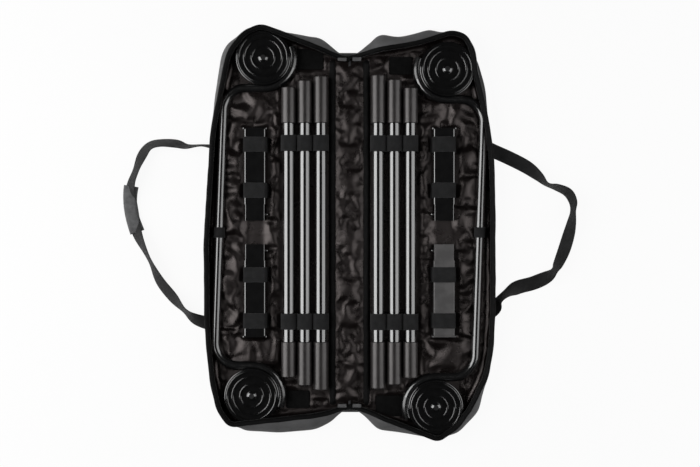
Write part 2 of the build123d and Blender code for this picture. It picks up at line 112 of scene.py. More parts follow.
# ---------------------------------------------------------------- finishes
def fill(node: bpy.types.Node, values: dict[str, float | tuple[float, ...]]) -> None:
    """Sets a node's own sockets, named by their labels."""
    for socket, value in values.items():
        node.inputs[socket].default_value = value


@dataclass(frozen=True)
class Noise:
    """One layer of bump: how fine it is, how stretched along each axis, and how deep in metres."""

    scale: float
    depth: float
    stretch: tuple[float, float, float] = (1.0, 1.0, 1.0)
    detail: float = 3.0


@dataclass(frozen=True)
class Finish:
    """A procedural finish.

    Attributes:
        name: The material's name.
        dark: The darker colour, mixed with the lighter one in soft random patches.
        light: The colour elsewhere.
        rough: The lowest and highest roughness.
        patch_scale: How many colour patches fit in a metre.
        coat: The weight of a clear coat over it.
        coat_ior: How strongly the coat reflects.
        sheen: The weight of the cloth's sheen.
        metal: How metallic it is.
        specular: The specular level.
        glint: The tint of its reflections.
        bumps: Layers of bump.
        weave: The cloth's weave, or None for a hard finish.
        thread: The width of a thread or rib, in metres.
        thread_depth: How deep the weave is.
    """

    name: str
    dark: tuple[float, float, float]
    light: tuple[float, float, float]
    rough: tuple[float, float] = (0.4, 0.6)
    patch_scale: float = 18.0
    coat: float = 0.0
    coat_ior: float = 1.5
    sheen: float = 0.0
    metal: float = 0.0
    specular: float = 0.5
    glint: tuple[float, float, float] = (1.0, 1.0, 1.0)
    bumps: tuple[Noise, ...] = ()
    weave: Weave | None = None
    thread: float = 0.0006
    thread_depth: float = 0.0001

    def make(self) -> bpy.types.Material:
        """Builds the material, or returns the one already built.

        Returns:
            The material.
        """
        found = bpy.data.materials.get(self.name)
        if found:
            return found
        material = bpy.data.materials.new(self.name)
        material.use_nodes = True
        tree = material.node_tree
        shader = tree.nodes["Principled BSDF"]
        place = tree.nodes.new("ShaderNodeTexCoord")
        self._colour(tree, shader, place)
        self._surface(tree, shader, place)
        fill(shader, {
            "Metallic": self.metal,
            "Coat Weight": self.coat,
            "Coat Roughness": 0.08,
            "Coat IOR": self.coat_ior,
            "Sheen Weight": self.sheen,
            "Sheen Roughness": 0.45,
            "Specular IOR Level": self.specular,
            "Specular Tint": (*self.glint, 1.0),
        })
        return material

    def _noise(
        self, tree: bpy.types.NodeTree, place: bpy.types.Node, layer: Noise
    ) -> bpy.types.NodeSocket:
        """Adds a noise texture on the piece's own coordinates.

        Args:
            tree: The material's node tree.
            place: The texture coordinate node.
            layer: The noise to add.

        Returns:
            The noise's value.
        """
        mapping = tree.nodes.new("ShaderNodeMapping")
        mapping.inputs["Scale"].default_value = layer.stretch
        texture = tree.nodes.new("ShaderNodeTexNoise")
        fill(texture, {"Scale": layer.scale, "Detail": layer.detail})
        tree.links.new(place.outputs["Object"], mapping.inputs["Vector"])
        tree.links.new(mapping.outputs["Vector"], texture.inputs["Vector"])
        return texture.outputs["Fac"]

    def _colour(self, tree: bpy.types.NodeTree, shader: bpy.types.Node, place: bpy.types.Node) -> None:
        """Mixes the two colours and the two roughnesses in soft patches.

        Args:
            tree: The material's node tree.
            shader: The principled shader.
            place: The texture coordinate node.
        """
        patches = self._noise(tree, place, Noise(self.patch_scale, 0.0))
        ramp = tree.nodes.new("ShaderNodeValToRGB")
        ends = ((0.35, self.dark), (0.65, self.light))
        for element, (position, colour) in zip(ramp.color_ramp.elements, ends):
            element.position = position
            element.color = (*colour, 1.0)
        tree.links.new(patches, ramp.inputs["Fac"])
        tree.links.new(ramp.outputs["Color"], shader.inputs["Base Color"])
        spread = tree.nodes.new("ShaderNodeMapRange")
        low, high = self.rough
        fill(spread, {"From Min": 0.3, "From Max": 0.7, "To Min": low, "To Max": high})
        smudges = self._noise(tree, place, Noise(self.patch_scale * 3.1, 0.0))
        tree.links.new(smudges, spread.inputs["Value"])
        tree.links.new(spread.outputs["Result"], shader.inputs["Roughness"])

    def _surface(self, tree: bpy.types.NodeTree, shader: bpy.types.Node, place: bpy.types.Node) -> None:
        """Chains the bump layers and the weave into the shader's normal.

        Args:
            tree: The material's node tree.
            shader: The principled shader.
            place: The texture coordinate node.
        """
        normal = None
        heights = [(self._noise(tree, place, layer), layer.depth) for layer in self.bumps]
        if self.weave is not None:
            heights.append((self._weave(tree, place), self.thread_depth))
        for height, depth in heights:
            bump = tree.nodes.new("ShaderNodeBump")
            fill(bump, {"Strength": 1.0, "Distance": depth})
            tree.links.new(height, bump.inputs["Height"])
            if normal is not None:
                tree.links.new(normal, bump.inputs["Normal"])
            normal = bump.outputs["Normal"]
        if normal is not None:
            tree.links.new(normal, shader.inputs["Normal"])

    def _weave(self, tree: bpy.types.NodeTree, place: bpy.types.Node) -> bpy.types.NodeSocket:
        """Adds the height of the cloth's threads.

        Args:
            tree: The material's node tree.
            place: The texture coordinate node.

        Returns:
            The height, from 0 to 1.
        """
        if self.weave is Weave.PILE:
            return self._noise(tree, place, Noise(1.0 / self.thread, 0.0, detail=6.0))
        if self.weave is Weave.RIB:
            along = tree.nodes.new("ShaderNodeAttribute")
            along.attribute_name = "across"
            wave = tree.nodes.new("ShaderNodeMath")
            wave.operation = "SINE"
            scale = tree.nodes.new("ShaderNodeMath")
            scale.operation = "MULTIPLY"
            scale.inputs[1].default_value = math.tau / self.thread
            tree.links.new(along.outputs["Fac"], scale.inputs[0])
            tree.links.new(scale.outputs["Value"], wave.inputs[0])
            return wave.outputs["Value"]
        waves = []
        for axis in ("X", "Y"):
            wave = tree.nodes.new("ShaderNodeTexWave")
            wave.bands_direction = axis
            fill(wave, {"Scale": 0.314 / self.thread, "Distortion": 0.6})
            tree.links.new(place.outputs["Object"], wave.inputs["Vector"])
            waves.append(wave.outputs["Fac"])
        mix = tree.nodes.new("ShaderNodeMath")
        mix.operation = "MAXIMUM" if self.weave is Weave.PLAIN else "ADD"
        tree.links.new(waves[0], mix.inputs[0])
        tree.links.new(waves[1], mix.inputs[1])
        return mix.outputs["Value"]


PACK_CLOTH = Finish(
    "grey_pack_cloth", (0.083, 0.083, 0.084), (0.102, 0.102, 0.104), (0.55, 0.72), 34.0, sheen=0.10,
    specular=0.35, bumps=(Noise(22.0, 0.0012, (1.0, 0.5, 1.0)), Noise(110.0, 0.0003)),
    weave=Weave.PLAIN, thread_depth=0.00008,
)
LINING_SATIN = Finish(
    "black_lining_satin", (0.0026, 0.0018, 0.0017), (0.0052, 0.0038, 0.0036), (0.25, 0.33), 14.0,
    specular=0.52, glint=(1.0, 0.89, 0.87),
    bumps=(Noise(34.0, 0.0008, (1.0, 0.6, 1.0)), Noise(120.0, 0.0002)),
    weave=Weave.SATIN, thread=0.0004, thread_depth=0.00002,
)
BINDING = Finish(
    "black_binding", (0.0016, 0.0016, 0.0017), (0.0030, 0.0030, 0.0031), (0.50, 0.62), 40.0,
    specular=0.10, bumps=(Noise(160.0, 0.0003),), weave=Weave.RIB, thread=0.0012, thread_depth=0.0001,
)
ZIP_COIL = Finish("black_zip_coil", (0.004, 0.004, 0.004), (0.008, 0.008, 0.008), (0.3, 0.45), 60.0)
ZIP_ENAMEL = Finish(
    "grey_zip_enamel", (0.05, 0.05, 0.052), (0.09, 0.09, 0.093), (0.28, 0.4), 120.0,
    metal=0.6, coat=0.3,
)
ELASTIC = Finish(
    "charcoal_elastic", (0.0120, 0.0120, 0.0124), (0.0185, 0.0185, 0.019), (0.75, 0.88), 60.0,
    sheen=0.08, specular=0.2, bumps=(Noise(420.0, 0.0002),),
    weave=Weave.RIB, thread=0.0021, thread_depth=0.0003,
)
HOOK_PATCH = Finish(
    "black_hook_patch", (0.0016, 0.0016, 0.0016), (0.0034, 0.0034, 0.0034), (0.85, 0.95), 50.0,
    specular=0.12, bumps=(Noise(900.0, 0.0006, detail=6.0),), weave=Weave.PILE, thread=0.0009,
    thread_depth=0.0005,
)
WEBBING = Finish(
    "black_webbing", (0.0048, 0.0048, 0.005), (0.0085, 0.0085, 0.009), (0.6, 0.75), 50.0, sheen=0.10,
    specular=0.3, bumps=(Noise(300.0, 0.0002),), weave=Weave.RIB, thread=0.0028, thread_depth=0.0003,
)
GRIP_CLOTH = Finish(
    "grey_grip_cloth", (0.080, 0.080, 0.082), (0.115, 0.115, 0.118), (0.75, 0.88), 80.0, sheen=0.08,
    specular=0.2, bumps=(Noise(55.0, 0.0010), Noise(700.0, 0.0002)), weave=Weave.PLAIN, thread=0.0011,
    thread_depth=0.0002,
)
POLE_PAINT = Finish(
    "gloss_black_pole_paint", (0.0030, 0.0030, 0.0031), (0.0048, 0.0048, 0.0050), (0.13, 0.18), 30.0,
    coat=1.0, coat_ior=1.65, specular=1.0, bumps=(Noise(140.0, 0.00002, (1.0, 0.15, 1.0)),),
)
TUBE_PAINT = Finish(
    "gloss_black_tube_paint", (0.0030, 0.0030, 0.0031), (0.0048, 0.0048, 0.0050), (0.18, 0.25), 30.0,
    coat=0.8, coat_ior=1.6, specular=0.9, bumps=(Noise(160.0, 0.00002),),
)
SLEEVE = Finish(
    "matte_black_sleeve", (0.011, 0.010, 0.010), (0.019, 0.017, 0.017), (0.32, 0.40), 45.0,
    specular=0.72, glint=(1.0, 0.96, 0.95),
    bumps=(Noise(520.0, 0.00010), Noise(60.0, 0.0001, (1.0, 0.15, 1.0))),
)
DISC_MOULDING = Finish(
    "black_disc_moulding", (0.0018, 0.0018, 0.0019), (0.0032, 0.0032, 0.0034), (0.12, 0.17), 60.0,
    coat=0.8, coat_ior=1.6, specular=0.8, bumps=(Noise(220.0, 0.00002),),
)
TIP_MOULDING = Finish(
    "black_tip_moulding", (0.003, 0.003, 0.0031), (0.005, 0.005, 0.0052), (0.22, 0.32), 60.0, coat=0.4,
    specular=0.7, bumps=(Noise(300.0, 0.00003),),
)
LEG_PAINT = Finish(
    "black_leg_paint", (0.0030, 0.0030, 0.0032), (0.0050, 0.0050, 0.0052), (0.10, 0.14), 50.0, coat=0.9,
    coat_ior=1.7, specular=0.8, bumps=(Noise(240.0, 0.00001, (1.0, 0.3, 1.0)),),
)
# Painted light: a lighter grey copy of the black leg paint, given to the right lower leg's two pieces.
PAINTED_LIGHT_LEG_PAINT = Finish(
    "satin_grey_leg_paint", (0.058, 0.056, 0.056), (0.084, 0.081, 0.081), (0.42, 0.55), 40.0, coat=0.05,
    specular=0.5, bumps=(Noise(200.0, 0.00003, (0.3, 1.0, 1.0)),),
)
STUD_STEEL = Finish(
    "dark_stud_steel", (0.008, 0.008, 0.0082), (0.014, 0.014, 0.0145), (0.5, 0.6), 90.0,
    specular=0.25,
)
BUTTON_STEEL = Finish(
    "bright_button_steel", (0.42, 0.42, 0.42), (0.62, 0.62, 0.62), (0.2, 0.3), 200.0, metal=1.0,
)
BOARD_SHEET = Finish("grey_board_sheet", (0.05, 0.05, 0.05), (0.08, 0.08, 0.08), (0.6, 0.7), 20.0)


# ---------------------------------------------------------------- mesh tools
def smoothstep(t: float) -> float:
    """Eases a share from 0 to 1 with flat ends."""
    t = min(1.0, max(0.0, t))
    return t * t * (3.0 - 2.0 * t)


def resample(points: Sequence[Vector], step: float) -> list[Vector]:
    """Divides a polyline into equal steps.

    Args:
        points: The polyline, as vectors of any one size.
        step: The length of a step, about.

    Returns:
        Points along it, from its first to its last.
    """
    lengths = [0.0]
    for a, b in zip(points, points[1:]):
        lengths.append(lengths[-1] + (b.to_3d() - a.to_3d()).length)
    count = max(2, round(lengths[-1] / step))
    found, at = [], 0
    for k in range(count + 1):
        reach = lengths[-1] * k / count
        while at < len(points) - 2 and lengths[at + 1] < reach:
            at += 1
        share = (reach - lengths[at]) / max(1e-9, lengths[at + 1] - lengths[at])
        found.append(points[at].lerp(points[at + 1], min(1.0, share)))
    return found


def smooth_line(points: Sequence[Vector], step: float) -> list[Vector]:
    """Runs a smooth line through points and divides it into equal steps.

    Args:
        points: The points, as vectors of any one size.
        step: The length of a step.

    Returns:
        Points along the line.
    """
    padded = [2 * points[0] - points[1], *points, 2 * points[-1] - points[-2]]
    fine = []
    for a, b, c, d in zip(padded, padded[1:], padded[2:], padded[3:]):
        for k in range(16):
            t = k / 16
            square, cube = 2 * a - 5 * b + 4 * c - d, 3 * b - a - 3 * c + d
            fine.append(0.5 * (2 * b + (c - a) * t + square * t * t + cube * t**3))
    fine.append(points[-1].copy())
    return resample(fine, step)


def skin(rows: Sequence[Sequence[Vector]], closed: bool = False) -> bmesh.types.BMesh:
    """Extrudes a first row of points through the other rows.

    Each vertex keeps how far it lies across the rows, as the attribute "across", so that ribs can
    follow the surface.

    Args:
        rows: Rows of as many points each.
        closed: Whether each row is a ring.

    Returns:
        The mesh.
    """
    mesh = bmesh.new()
    column = mesh.verts.layers.int.new("column")
    across = mesh.verts.layers.float.new("across")
    first = [mesh.verts.new(p) for p in rows[0]]
    for i, vertex in enumerate(first):
        vertex[column] = i
    pairs = list(zip(first, first[1:])) + ([(first[-1], first[0])] if closed else [])
    edges = [mesh.edges.new(pair) for pair in pairs]
    gone = 0.0
    for before, row in zip(rows, rows[1:]):
        gone += sum((b - a).length for a, b in zip(before, row)) / len(row)
        grown = bmesh.ops.extrude_edge_only(mesh, edges=edges)["geom"]
        fresh = {v for v in grown if isinstance(v, bmesh.types.BMVert)}
        edges = [e for e in grown if isinstance(e, bmesh.types.BMEdge) and set(e.verts) <= fresh]
        for vertex in fresh:
            vertex.co = row[vertex[column]]
            vertex[across] = gone
    return mesh


def add_thickness(piece: bpy.types.Object, thick: float, offset: float = -1.0) -> None:
    """Gives a sheet its thickness.

    Args:
        piece: The sheet.
        thick: Its thickness.
        offset: Where the sheet lies in its thickness, from -1 for its outer face to 1.
    """
    solidify = piece.modifiers.new("thickness", "SOLIDIFY")
    solidify.thickness = thick
    solidify.offset = offset
    solidify.use_even_offset = False


def add_subdivision(piece: bpy.types.Object, levels: int) -> None:
    """Smooths a piece by subdivision.

    Args:
        piece: The piece.
        levels: Levels of subdivision.
    """
    subdivide = piece.modifiers.new("smooth", "SUBSURF")
    subdivide.levels = levels
    subdivide.render_levels = levels


def bevel(
    mesh: bmesh.types.BMesh, edges: Sequence[bmesh.types.BMEdge], offset: float, segments: int
) -> None:
    """Rounds edges.

    Args:
        mesh: The mesh.
        edges: Its edges to round.
        offset: How far the rounding reaches.
        segments: Its steps.
    """
    bmesh.ops.bevel(
        mesh, geom=edges, offset=offset, segments=segments, profile=0.5, affect="EDGES", material=-1
    )


def finish_piece(
    mesh: bmesh.types.BMesh,
    name: str,
    finish: Finish,
    thick: float = 0.0,
    levels: int = 0,
    side: Side = Side.LEFT,
    up: bool | None = None,
    smooth: bool = True,
    offset: float = -1.0,
) -> bpy.types.Object:
    """Turns a mesh into a piece with its finish and its closing modifiers.

    Args:
        mesh: The mesh, as it lies on the left. It is freed.
        name: The piece's name.
        finish: Its finish.
        thick: The thickness of a sheet, or 0 for a closed solid.
        levels: Levels of subdivision.
        side: The side that it is turned to.
        up: Whether a sheet's faces look up, or None to leave them as they are.
        smooth: Whether it is shaded smooth.
        offset: Where the sheet lies in its thickness, from -1 for its outer face to 1.

    Returns:
        The piece.
    """
    if side is Side.RIGHT:
        half_turn = Matrix.Rotation(math.pi, 3, "Z")
        bmesh.ops.rotate(mesh, verts=mesh.verts, cent=(0, 0, 0), matrix=half_turn)
    bmesh.ops.recalc_face_normals(mesh, faces=mesh.faces)
    mesh.normal_update()
    if up is not None:
        lean = sum(f.normal.z * f.calc_area() for f in mesh.faces)
        if (lean > 0) != up:
            bmesh.ops.reverse_faces(mesh, faces=mesh.faces)
    for face in mesh.faces:
        face.smooth = smooth
    data = bpy.data.meshes.new(name)
    mesh.to_mesh(data)
    mesh.free()
    piece = bpy.data.objects.new(name, data)
    bpy.context.scene.collection.objects.link(piece)
    data.materials.append(finish.make())
    if thick:
        add_thickness(piece, thick, offset)
    if levels:
        add_subdivision(piece, levels)
    LOG.info("%s: %d faces", name, len(data.polygons))
    return piece


def ridged(point: Vector, size: float, seed: float) -> float:
    """Sharp creases: high along thin wandering lines and low between them.

    Args:
        point: Where.
        size: The distance between creases.
        seed: A shift of the pattern.

    Returns:
        A height from 0 to 1.
    """
    there = Vector((point.x, point.y, seed)) / size
    warp = Vector((noise.noise(there * 0.7), noise.noise(there * 0.7 + Vector((9.1, 3.3, 0))), 0))
    return (1.0 - abs(noise.noise(there + 0.9 * warp))) ** 4


def run_cloth(piece: bpy.types.Object, frames: int) -> list[Vector]:
    """Runs a piece's cloth simulation and takes its modifiers off.

    Args:
        piece: The piece.
        frames: How long it runs.

    Returns:
        The place of each vertex at the end.
    """
    piece.modifiers["cloth"].point_cache.frame_end = frames
    for frame_number in range(1, frames + 1):
        bpy.context.scene.frame_set(frame_number)
    moved = piece.evaluated_get(bpy.context.evaluated_depsgraph_get()).to_mesh()
    places = [v.co.copy() for v in moved.vertices]
    piece.modifiers.clear()
    return places


def early_share() -> float:
    """The share of a lining's creases that it has before it settles."""
    return 0.6


@dataclass(frozen=True)
class Crumple:
    """How a loose lining buckles.

    Attributes:
        spare: How much longer the cloth is than the space it lies in.
        bending: How stiffly it bends.
        frames: How long it settles.
    """

    spare: float = 0.075
    bending: float = 4.0
    frames: int = 30

    def settle(
        self,
        piece: bpy.types.Object,
        held: Sequence[float],
        limits: Callable[[np.ndarray], Sequence[float]],
        floor_z: float,
    ) -> None:
        """Lets a flat sheet of too much cloth buckle off the floor, except where it is held.

        Args:
            piece: The sheet, with no modifiers yet.
            held: For each vertex, from 0 where it is free to 1 where it is held still.
            limits: Gives how far the sheet may rise off the floor at each of some places.
            floor_z: The height of what lies under it.
        """
        group = piece.vertex_groups.new(name="held")
        for index, weight in enumerate(held):
            group.add([index], weight, "REPLACE")
        plate = bpy.data.meshes.new("under")
        mesh = bmesh.new()
        bmesh.ops.create_grid(mesh, size=0.8, matrix=Matrix.Translation((0, 0, floor_z - 0.0016)))
        mesh.to_mesh(plate)
        mesh.free()
        under = bpy.data.objects.new("under", plate)
        bpy.context.scene.collection.objects.link(under)
        under.modifiers.new("stop", "COLLISION")
        under.collision.thickness_outer = 0.0012
        cloth = piece.modifiers.new("cloth", "CLOTH")
        cloth.settings.quality = 6
        cloth.settings.mass = 0.06
        cloth.settings.air_damping = 2.0
        cloth.settings.tension_stiffness = 22.0
        cloth.settings.compression_stiffness = 22.0
        cloth.settings.shear_stiffness = 8.0
        cloth.settings.bending_stiffness = self.bending
        cloth.settings.vertex_group_mass = "held"
        cloth.settings.pin_stiffness = 4.0
        cloth.settings.shrink_min = -self.spare
        cloth.settings.effector_weights.gravity = 0.35
        cloth.collision_settings.distance_min = 0.0008
        cloth.collision_settings.use_self_collision = False
        places = run_cloth(piece, self.frames)
        piece.vertex_groups.clear()
        for vertex, after, limit in zip(piece.data.vertices, places, limits(np.array(places)[:, :2])):
            rise = max(0.0, after.z - floor_z)
            lift = limit * math.tanh(rise / limit) if limit > 1e-5 else 0.0
            vertex.co = (after.x, after.y, floor_z + lift)
        bpy.data.objects.remove(under)
        bpy.context.scene.frame_set(1)


# ---------------------------------------------------------------- bag
@dataclass(frozen=True)
class RimPoint:
    """A corner of a tray's rim: its place, its radius, and how far the cloth bulges out below it."""

    x: float
    y: float
    radius: float
    bulge: float


LEFT_RIM = (
    RimPoint(0.002, 0.472, 0.0, 0.004), RimPoint(-0.052, 0.489, 0.10, 0.028),
    RimPoint(-0.088, 0.502, 0.20, 0.030), RimPoint(-0.120, 0.514, 0.30, 0.021),
    RimPoint(-0.188, 0.541, 0.30, 0.003), RimPoint(-0.238, 0.560, 0.050, 0.001),
    RimPoint(-0.284, 0.541, 0.080, 0.008), RimPoint(-0.328, 0.486, 0.100, 0.019),
    RimPoint(-0.356, 0.350, 0.60, 0.011), RimPoint(-0.371, 0.275, 0.60, 0.006),
    RimPoint(-0.389, -0.020, 0.80, 0.004), RimPoint(-0.387, -0.250, 0.80, 0.003),
    RimPoint(-0.374, -0.395, 0.25, 0.003), RimPoint(-0.354, -0.482, 0.10, 0.004),
    RimPoint(-0.322, -0.522, 0.040, 0.004), RimPoint(-0.285, -0.517, 0.10, 0.022),
    RimPoint(-0.200, -0.508, 0.60, 0.035), RimPoint(-0.110, -0.498, 0.60, 0.040),
    RimPoint(-0.056, -0.491, 0.10, 0.036), RimPoint(0.002, -0.476, 0.0, 0.004),
)
RIGHT_RIM = (
    RimPoint(0.002, 0.474, 0.0, 0.004), RimPoint(-0.050, 0.489, 0.10, 0.026),
    RimPoint(-0.084, 0.501, 0.20, 0.035), RimPoint(-0.136, 0.521, 0.60, 0.021),
    RimPoint(-0.240, 0.561, 0.032, 0.001), RimPoint(-0.292, 0.524, 0.080, 0.017),
    RimPoint(-0.328, 0.474, 0.100, 0.023), RimPoint(-0.350, 0.430, 0.30, 0.013),
    RimPoint(-0.370, 0.388, 0.30, 0.008), RimPoint(-0.384, 0.318, 0.40, 0.004),
    RimPoint(-0.390, 0.200, 0.80, 0.003), RimPoint(-0.389, -0.104, 0.80, 0.003),
    RimPoint(-0.385, -0.212, 0.60, 0.003), RimPoint(-0.374, -0.290, 0.50, 0.003),
    RimPoint(-0.358, -0.365, 0.40, 0.004), RimPoint(-0.342, -0.430, 0.30, 0.007),
    RimPoint(-0.334, -0.492, 0.10, 0.008), RimPoint(-0.314, -0.530, 0.045, 0.005),
    RimPoint(-0.274, -0.543, 0.060, 0.003), RimPoint(-0.180, -0.511, 0.60, 0.028),
    RimPoint(-0.085, -0.497, 0.30, 0.044), RimPoint(-0.052, -0.491, 0.10, 0.031),
    RimPoint(0.002, -0.476, 0.0, 0.004),
)


@dataclass
class Rim:
    """The line that a tray's rim follows, from one end of the spine round to the other."""

    corners: tuple[RimPoint, ...] = LEFT_RIM
    height: float = 0.0456
    low: float = 0.0125
    dip: float = 0.105
    step: float = 0.006

    def rounded(self) -> list[Vector]:
        """The rim line with its corners rounded.

        Returns:
            Points along it, as (x, y, bulge).
        """
        flat = [Vector((c.x, c.y, 0)) for c in self.corners]
        line = [Vector((flat[0].x, flat[0].y, self.corners[0].bulge))]
        for before, corner, after, here in zip(flat, flat[1:], flat[2:], self.corners[1:]):
            into, out = corner - before, after - corner
            turn = into.angle(out)
            reach = min(here.radius * math.tan(turn / 2), 0.48 * into.length, 0.48 * out.length)
            start, end = corner - into.normalized() * reach, corner + out.normalized() * reach
            for k in range(9):
                t = k / 8
                bend = (1 - t) ** 2 * start + 2 * t * (1 - t) * corner + t * t * end
                line.append(Vector((bend.x, bend.y, here.bulge)))
        line.append(Vector((flat[-1].x, flat[-1].y, self.corners[-1].bulge)))
        return line

    def stations(self) -> list["Station"]:
        """Divides the rim line into equal steps.

        Returns:
            The steps, each with its outward direction, bulge and height.
        """
        line = resample(self.rounded(), self.step)
        bulges = [p.z for p in line]
        for _ in range(6):
            bulges = [
                (bulges[max(0, i - 1)] + 2 * b + bulges[min(len(bulges) - 1, i + 1)]) / 4
                for i, b in enumerate(bulges)
            ]
        found = []
        for i, point in enumerate(line):
            ahead = line[min(i + 1, len(line) - 1)] - line[max(i - 1, 0)]
            outward = Vector((-ahead.y, ahead.x, 0)).normalized() * -1
            near = smoothstep(-point.x / self.dip)
            top = self.low + (self.height - self.low) * near
            bulge = bulges[i] * (0.25 + 0.75 * near)
            found.append(Station(Vector((point.x, point.y, 0)), outward, bulge, top))
        return found


@dataclass(frozen=True)
class Station:
    """One step of the rim: its place on the floor, outward direction, bulge below it and height."""

    place: Vector
    outward: Vector
    bulge: float
    top: float

    def at(self, out: float, z: float) -> Vector:
        """A point beside the rim, a distance outward of it and at a height."""
        return self.place + self.outward * out + Vector((0, 0, z))


# The hook-and-loop patches of the left tray, as (x, y, width, length).
HOOK_PATCHES = ((-0.108, 0.472, 0.072, 0.056), (-0.140, -0.454, 0.062, 0.048))
# A tray's fold line, as its distance from the spine's middle.
FOLD_X = 0.046
# The top of a tray's floor, and how far its lining starts below that.
FLOOR_Z = 0.0062
LINING_Z = FLOOR_Z - 0.0012
# How far the sleeves of a sliding pole and an inner leg travel, with room beside them.
POLE_ROOM = 0.013
LEG_ROOM = 0.027
POLES = ("outer", "middle", "inner")


def bend_at_fold(piece: bpy.types.Object) -> None:
    """Bakes the cloth's placement into its mesh.

    Args:
        piece: The cloth.
    """
    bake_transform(piece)


@dataclass
class TrayCloth:
    """The cloth of one tray: outer wall and base, lining wall and floor, rim binding and zip."""

    side: Side
    wall_thick: float = 0.0015
    lining_thick: float = 0.0006
    floor_grid: float = 0.0080
    wrinkle: float = 0.0075
    floor_rise: float = 0.0145
    tooth_pitch: float = 0.0032

    def __post_init__(self) -> None:
        """Lays out the rim of this side."""
        self.rim = Rim(LEFT_RIM if self.side is Side.LEFT else RIGHT_RIM)
        self.stations = self.rim.stations()

    def build(self) -> None:
        """Builds every piece of the tray's cloth."""
        self.build_wall()
        self.build_base()
        self.build_lining_wall()
        self.build_floor()
        self.build_binding()
        self.build_teeth()

    def build_wall(self) -> None:
        """The grey outer wall, bulging out below the rim and tucked in at the floor."""
        profile = (
            (0.0, 0.98), (0.22, 0.93), (0.48, 0.84), (0.74, 0.70), (0.93, 0.52), (1.0, 0.32),
            (0.99, 0.13), (0.90, 0.03), (0.72, 0.012),
        )
        rows = []
        for share, high in profile:
            row = []
            for station in self.stations:
                there = station.at(0, 0)
                crease = noise.noise(Vector((there.x * 9, there.y * 9, self.side.seed + high * 1.3)))
                fold = ridged(there + Vector((high * 0.05, high * 0.03, 0)), 0.11, self.side.seed + 5)
                depth = (0.25 + station.bulge * 60) * 0.0011 * (crease + 1.4 * fold - 0.9)
                out = station.bulge * share + 0.0006 + depth * math.sin(math.pi * high)
                row.append(station.at(out, max(0.0006, station.top * high)))
            rows.append(row)
        name = f"{self.side.word}_outer_wall"
        piece = finish_piece(skin(rows), name, PACK_CLOTH, self.wall_thick, 1, self.side)
        self.face_out(piece)
        bend_at_fold(piece)
        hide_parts(f"{self.side.word}_shell")

    def face_out(self, piece: bpy.types.Object) -> None:
        """Makes a wall's faces look away from the tray's middle.

        Args:
            piece: The wall, an open band.
        """
        data = piece.data
        middle = Vector((-0.2 * self.side.value, 0, 0))
        lean = sum(
            (Vector(f.center) - middle).to_2d().dot(f.normal.to_2d()) * f.area for f in data.polygons
        )
        if lean < 0:
            data.flip_normals()

    def build_base(self) -> None:
        """The base panel, lying on the floor inside the wall's tucked edge."""
        outline = [
            station.at(station.bulge * 0.86 - 0.0005, 0.0)
            for station in self.stations
            if station.place.x < -FOLD_X - 0.0012
        ]
        mesh = bmesh.new()
        ring = [mesh.verts.new(p) for p in outline]
        face = mesh.faces.new(ring)
        grown = bmesh.ops.extrude_face_region(mesh, geom=[face])["geom"]
        lifted = [v for v in grown if isinstance(v, bmesh.types.BMVert)]
        bmesh.ops.translate(mesh, verts=lifted, vec=(0, 0, 0.0014))
        bmesh.ops.triangulate(mesh, faces=[f for f in mesh.faces if len(f.verts) > 4])
        name = f"{self.side.word}_base_panel"
        piece = finish_piece(mesh, name, PACK_CLOTH, side=self.side, smooth=False)
        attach(piece, self.side.half)

    def build_lining_wall(self) -> None:
        """The satin on the inside of the wall, down to where it meets the lining's floor."""
        profile = (
            (-0.0035, 0.96), (-0.0040, 0.86), (-0.0045, 0.70), (-0.0048, 0.52), (-0.0055, 0.36),
            (-0.0075, 0.24), (-0.0115, 0.17), (-0.0170, 0.135), (-0.0200, 0.10),
        )
        rows = []
        for inset, high in profile:
            row = []
            for station in self.stations:
                there = station.at(0, 0)
                near = smoothstep((-there.x - 0.02) / 0.08)
                fold = ridged(there + Vector((0, high * 0.02, 0)), 0.055, self.side.seed + 11)
                ripple = noise.noise(Vector((there.x * 30, there.y * 30, self.side.seed + high * 2)))
                swing = math.sin(math.pi * min(1.0, high * 1.15)) * near
                out = inset - 0.0030 * fold * swing + 0.0012 * ripple * swing
                z = station.top * high
                row.append(station.at(out, max(z, 0.0042) if inset > -0.012 else max(0.0060, z)))
            rows.append(row)
        name, thick = f"{self.side.word}_lining_wall", self.lining_thick
        piece = finish_piece(skin(rows), name, LINING_SATIN, thick, 1, self.side, offset=0.0)
        bend_at_fold(piece)

    def footprints(self) -> list[tuple[Vector, Vector]]:
        """Finds the places of what is strapped in the tray, with the room of what slides.

        Returns:
            The low and high corner of each, as it lies on the left.
        """
        word = self.side.word
        travel = {f"{word}_{pole}_pole_sleeves": (POLE_ROOM, POLE_ROOM) for pole in POLES}
        for end in ("upper", "lower"):
            travel[f"{word}_{end}_leg_outer"] = (0.0, 0.0)
            travel[f"{word}_{end}_foot_disc"] = (0.0, 0.0)
            downward = (end == "upper") == (self.side is Side.LEFT)
            travel[f"{word}_{end}_leg_inner"] = (LEG_ROOM, 0.0) if downward else (0.0, LEG_ROOM)
        boxes = [
            (Vector((x - wide / 2, y - long / 2)), Vector((x + wide / 2, y + long / 2)))
            for x, y, wide, long in HOOK_PATCHES
        ]
        for name, (down, up) in travel.items():
            low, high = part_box(name)
            corners = (self.side.turned(low), self.side.turned(high))
            boxes.append(
                (
                    Vector((min(c.x for c in corners), min(c.y for c in corners) - down)),
                    Vector((max(c.x for c in corners), max(c.y for c in corners) + up)),
                )
            )
        return boxes

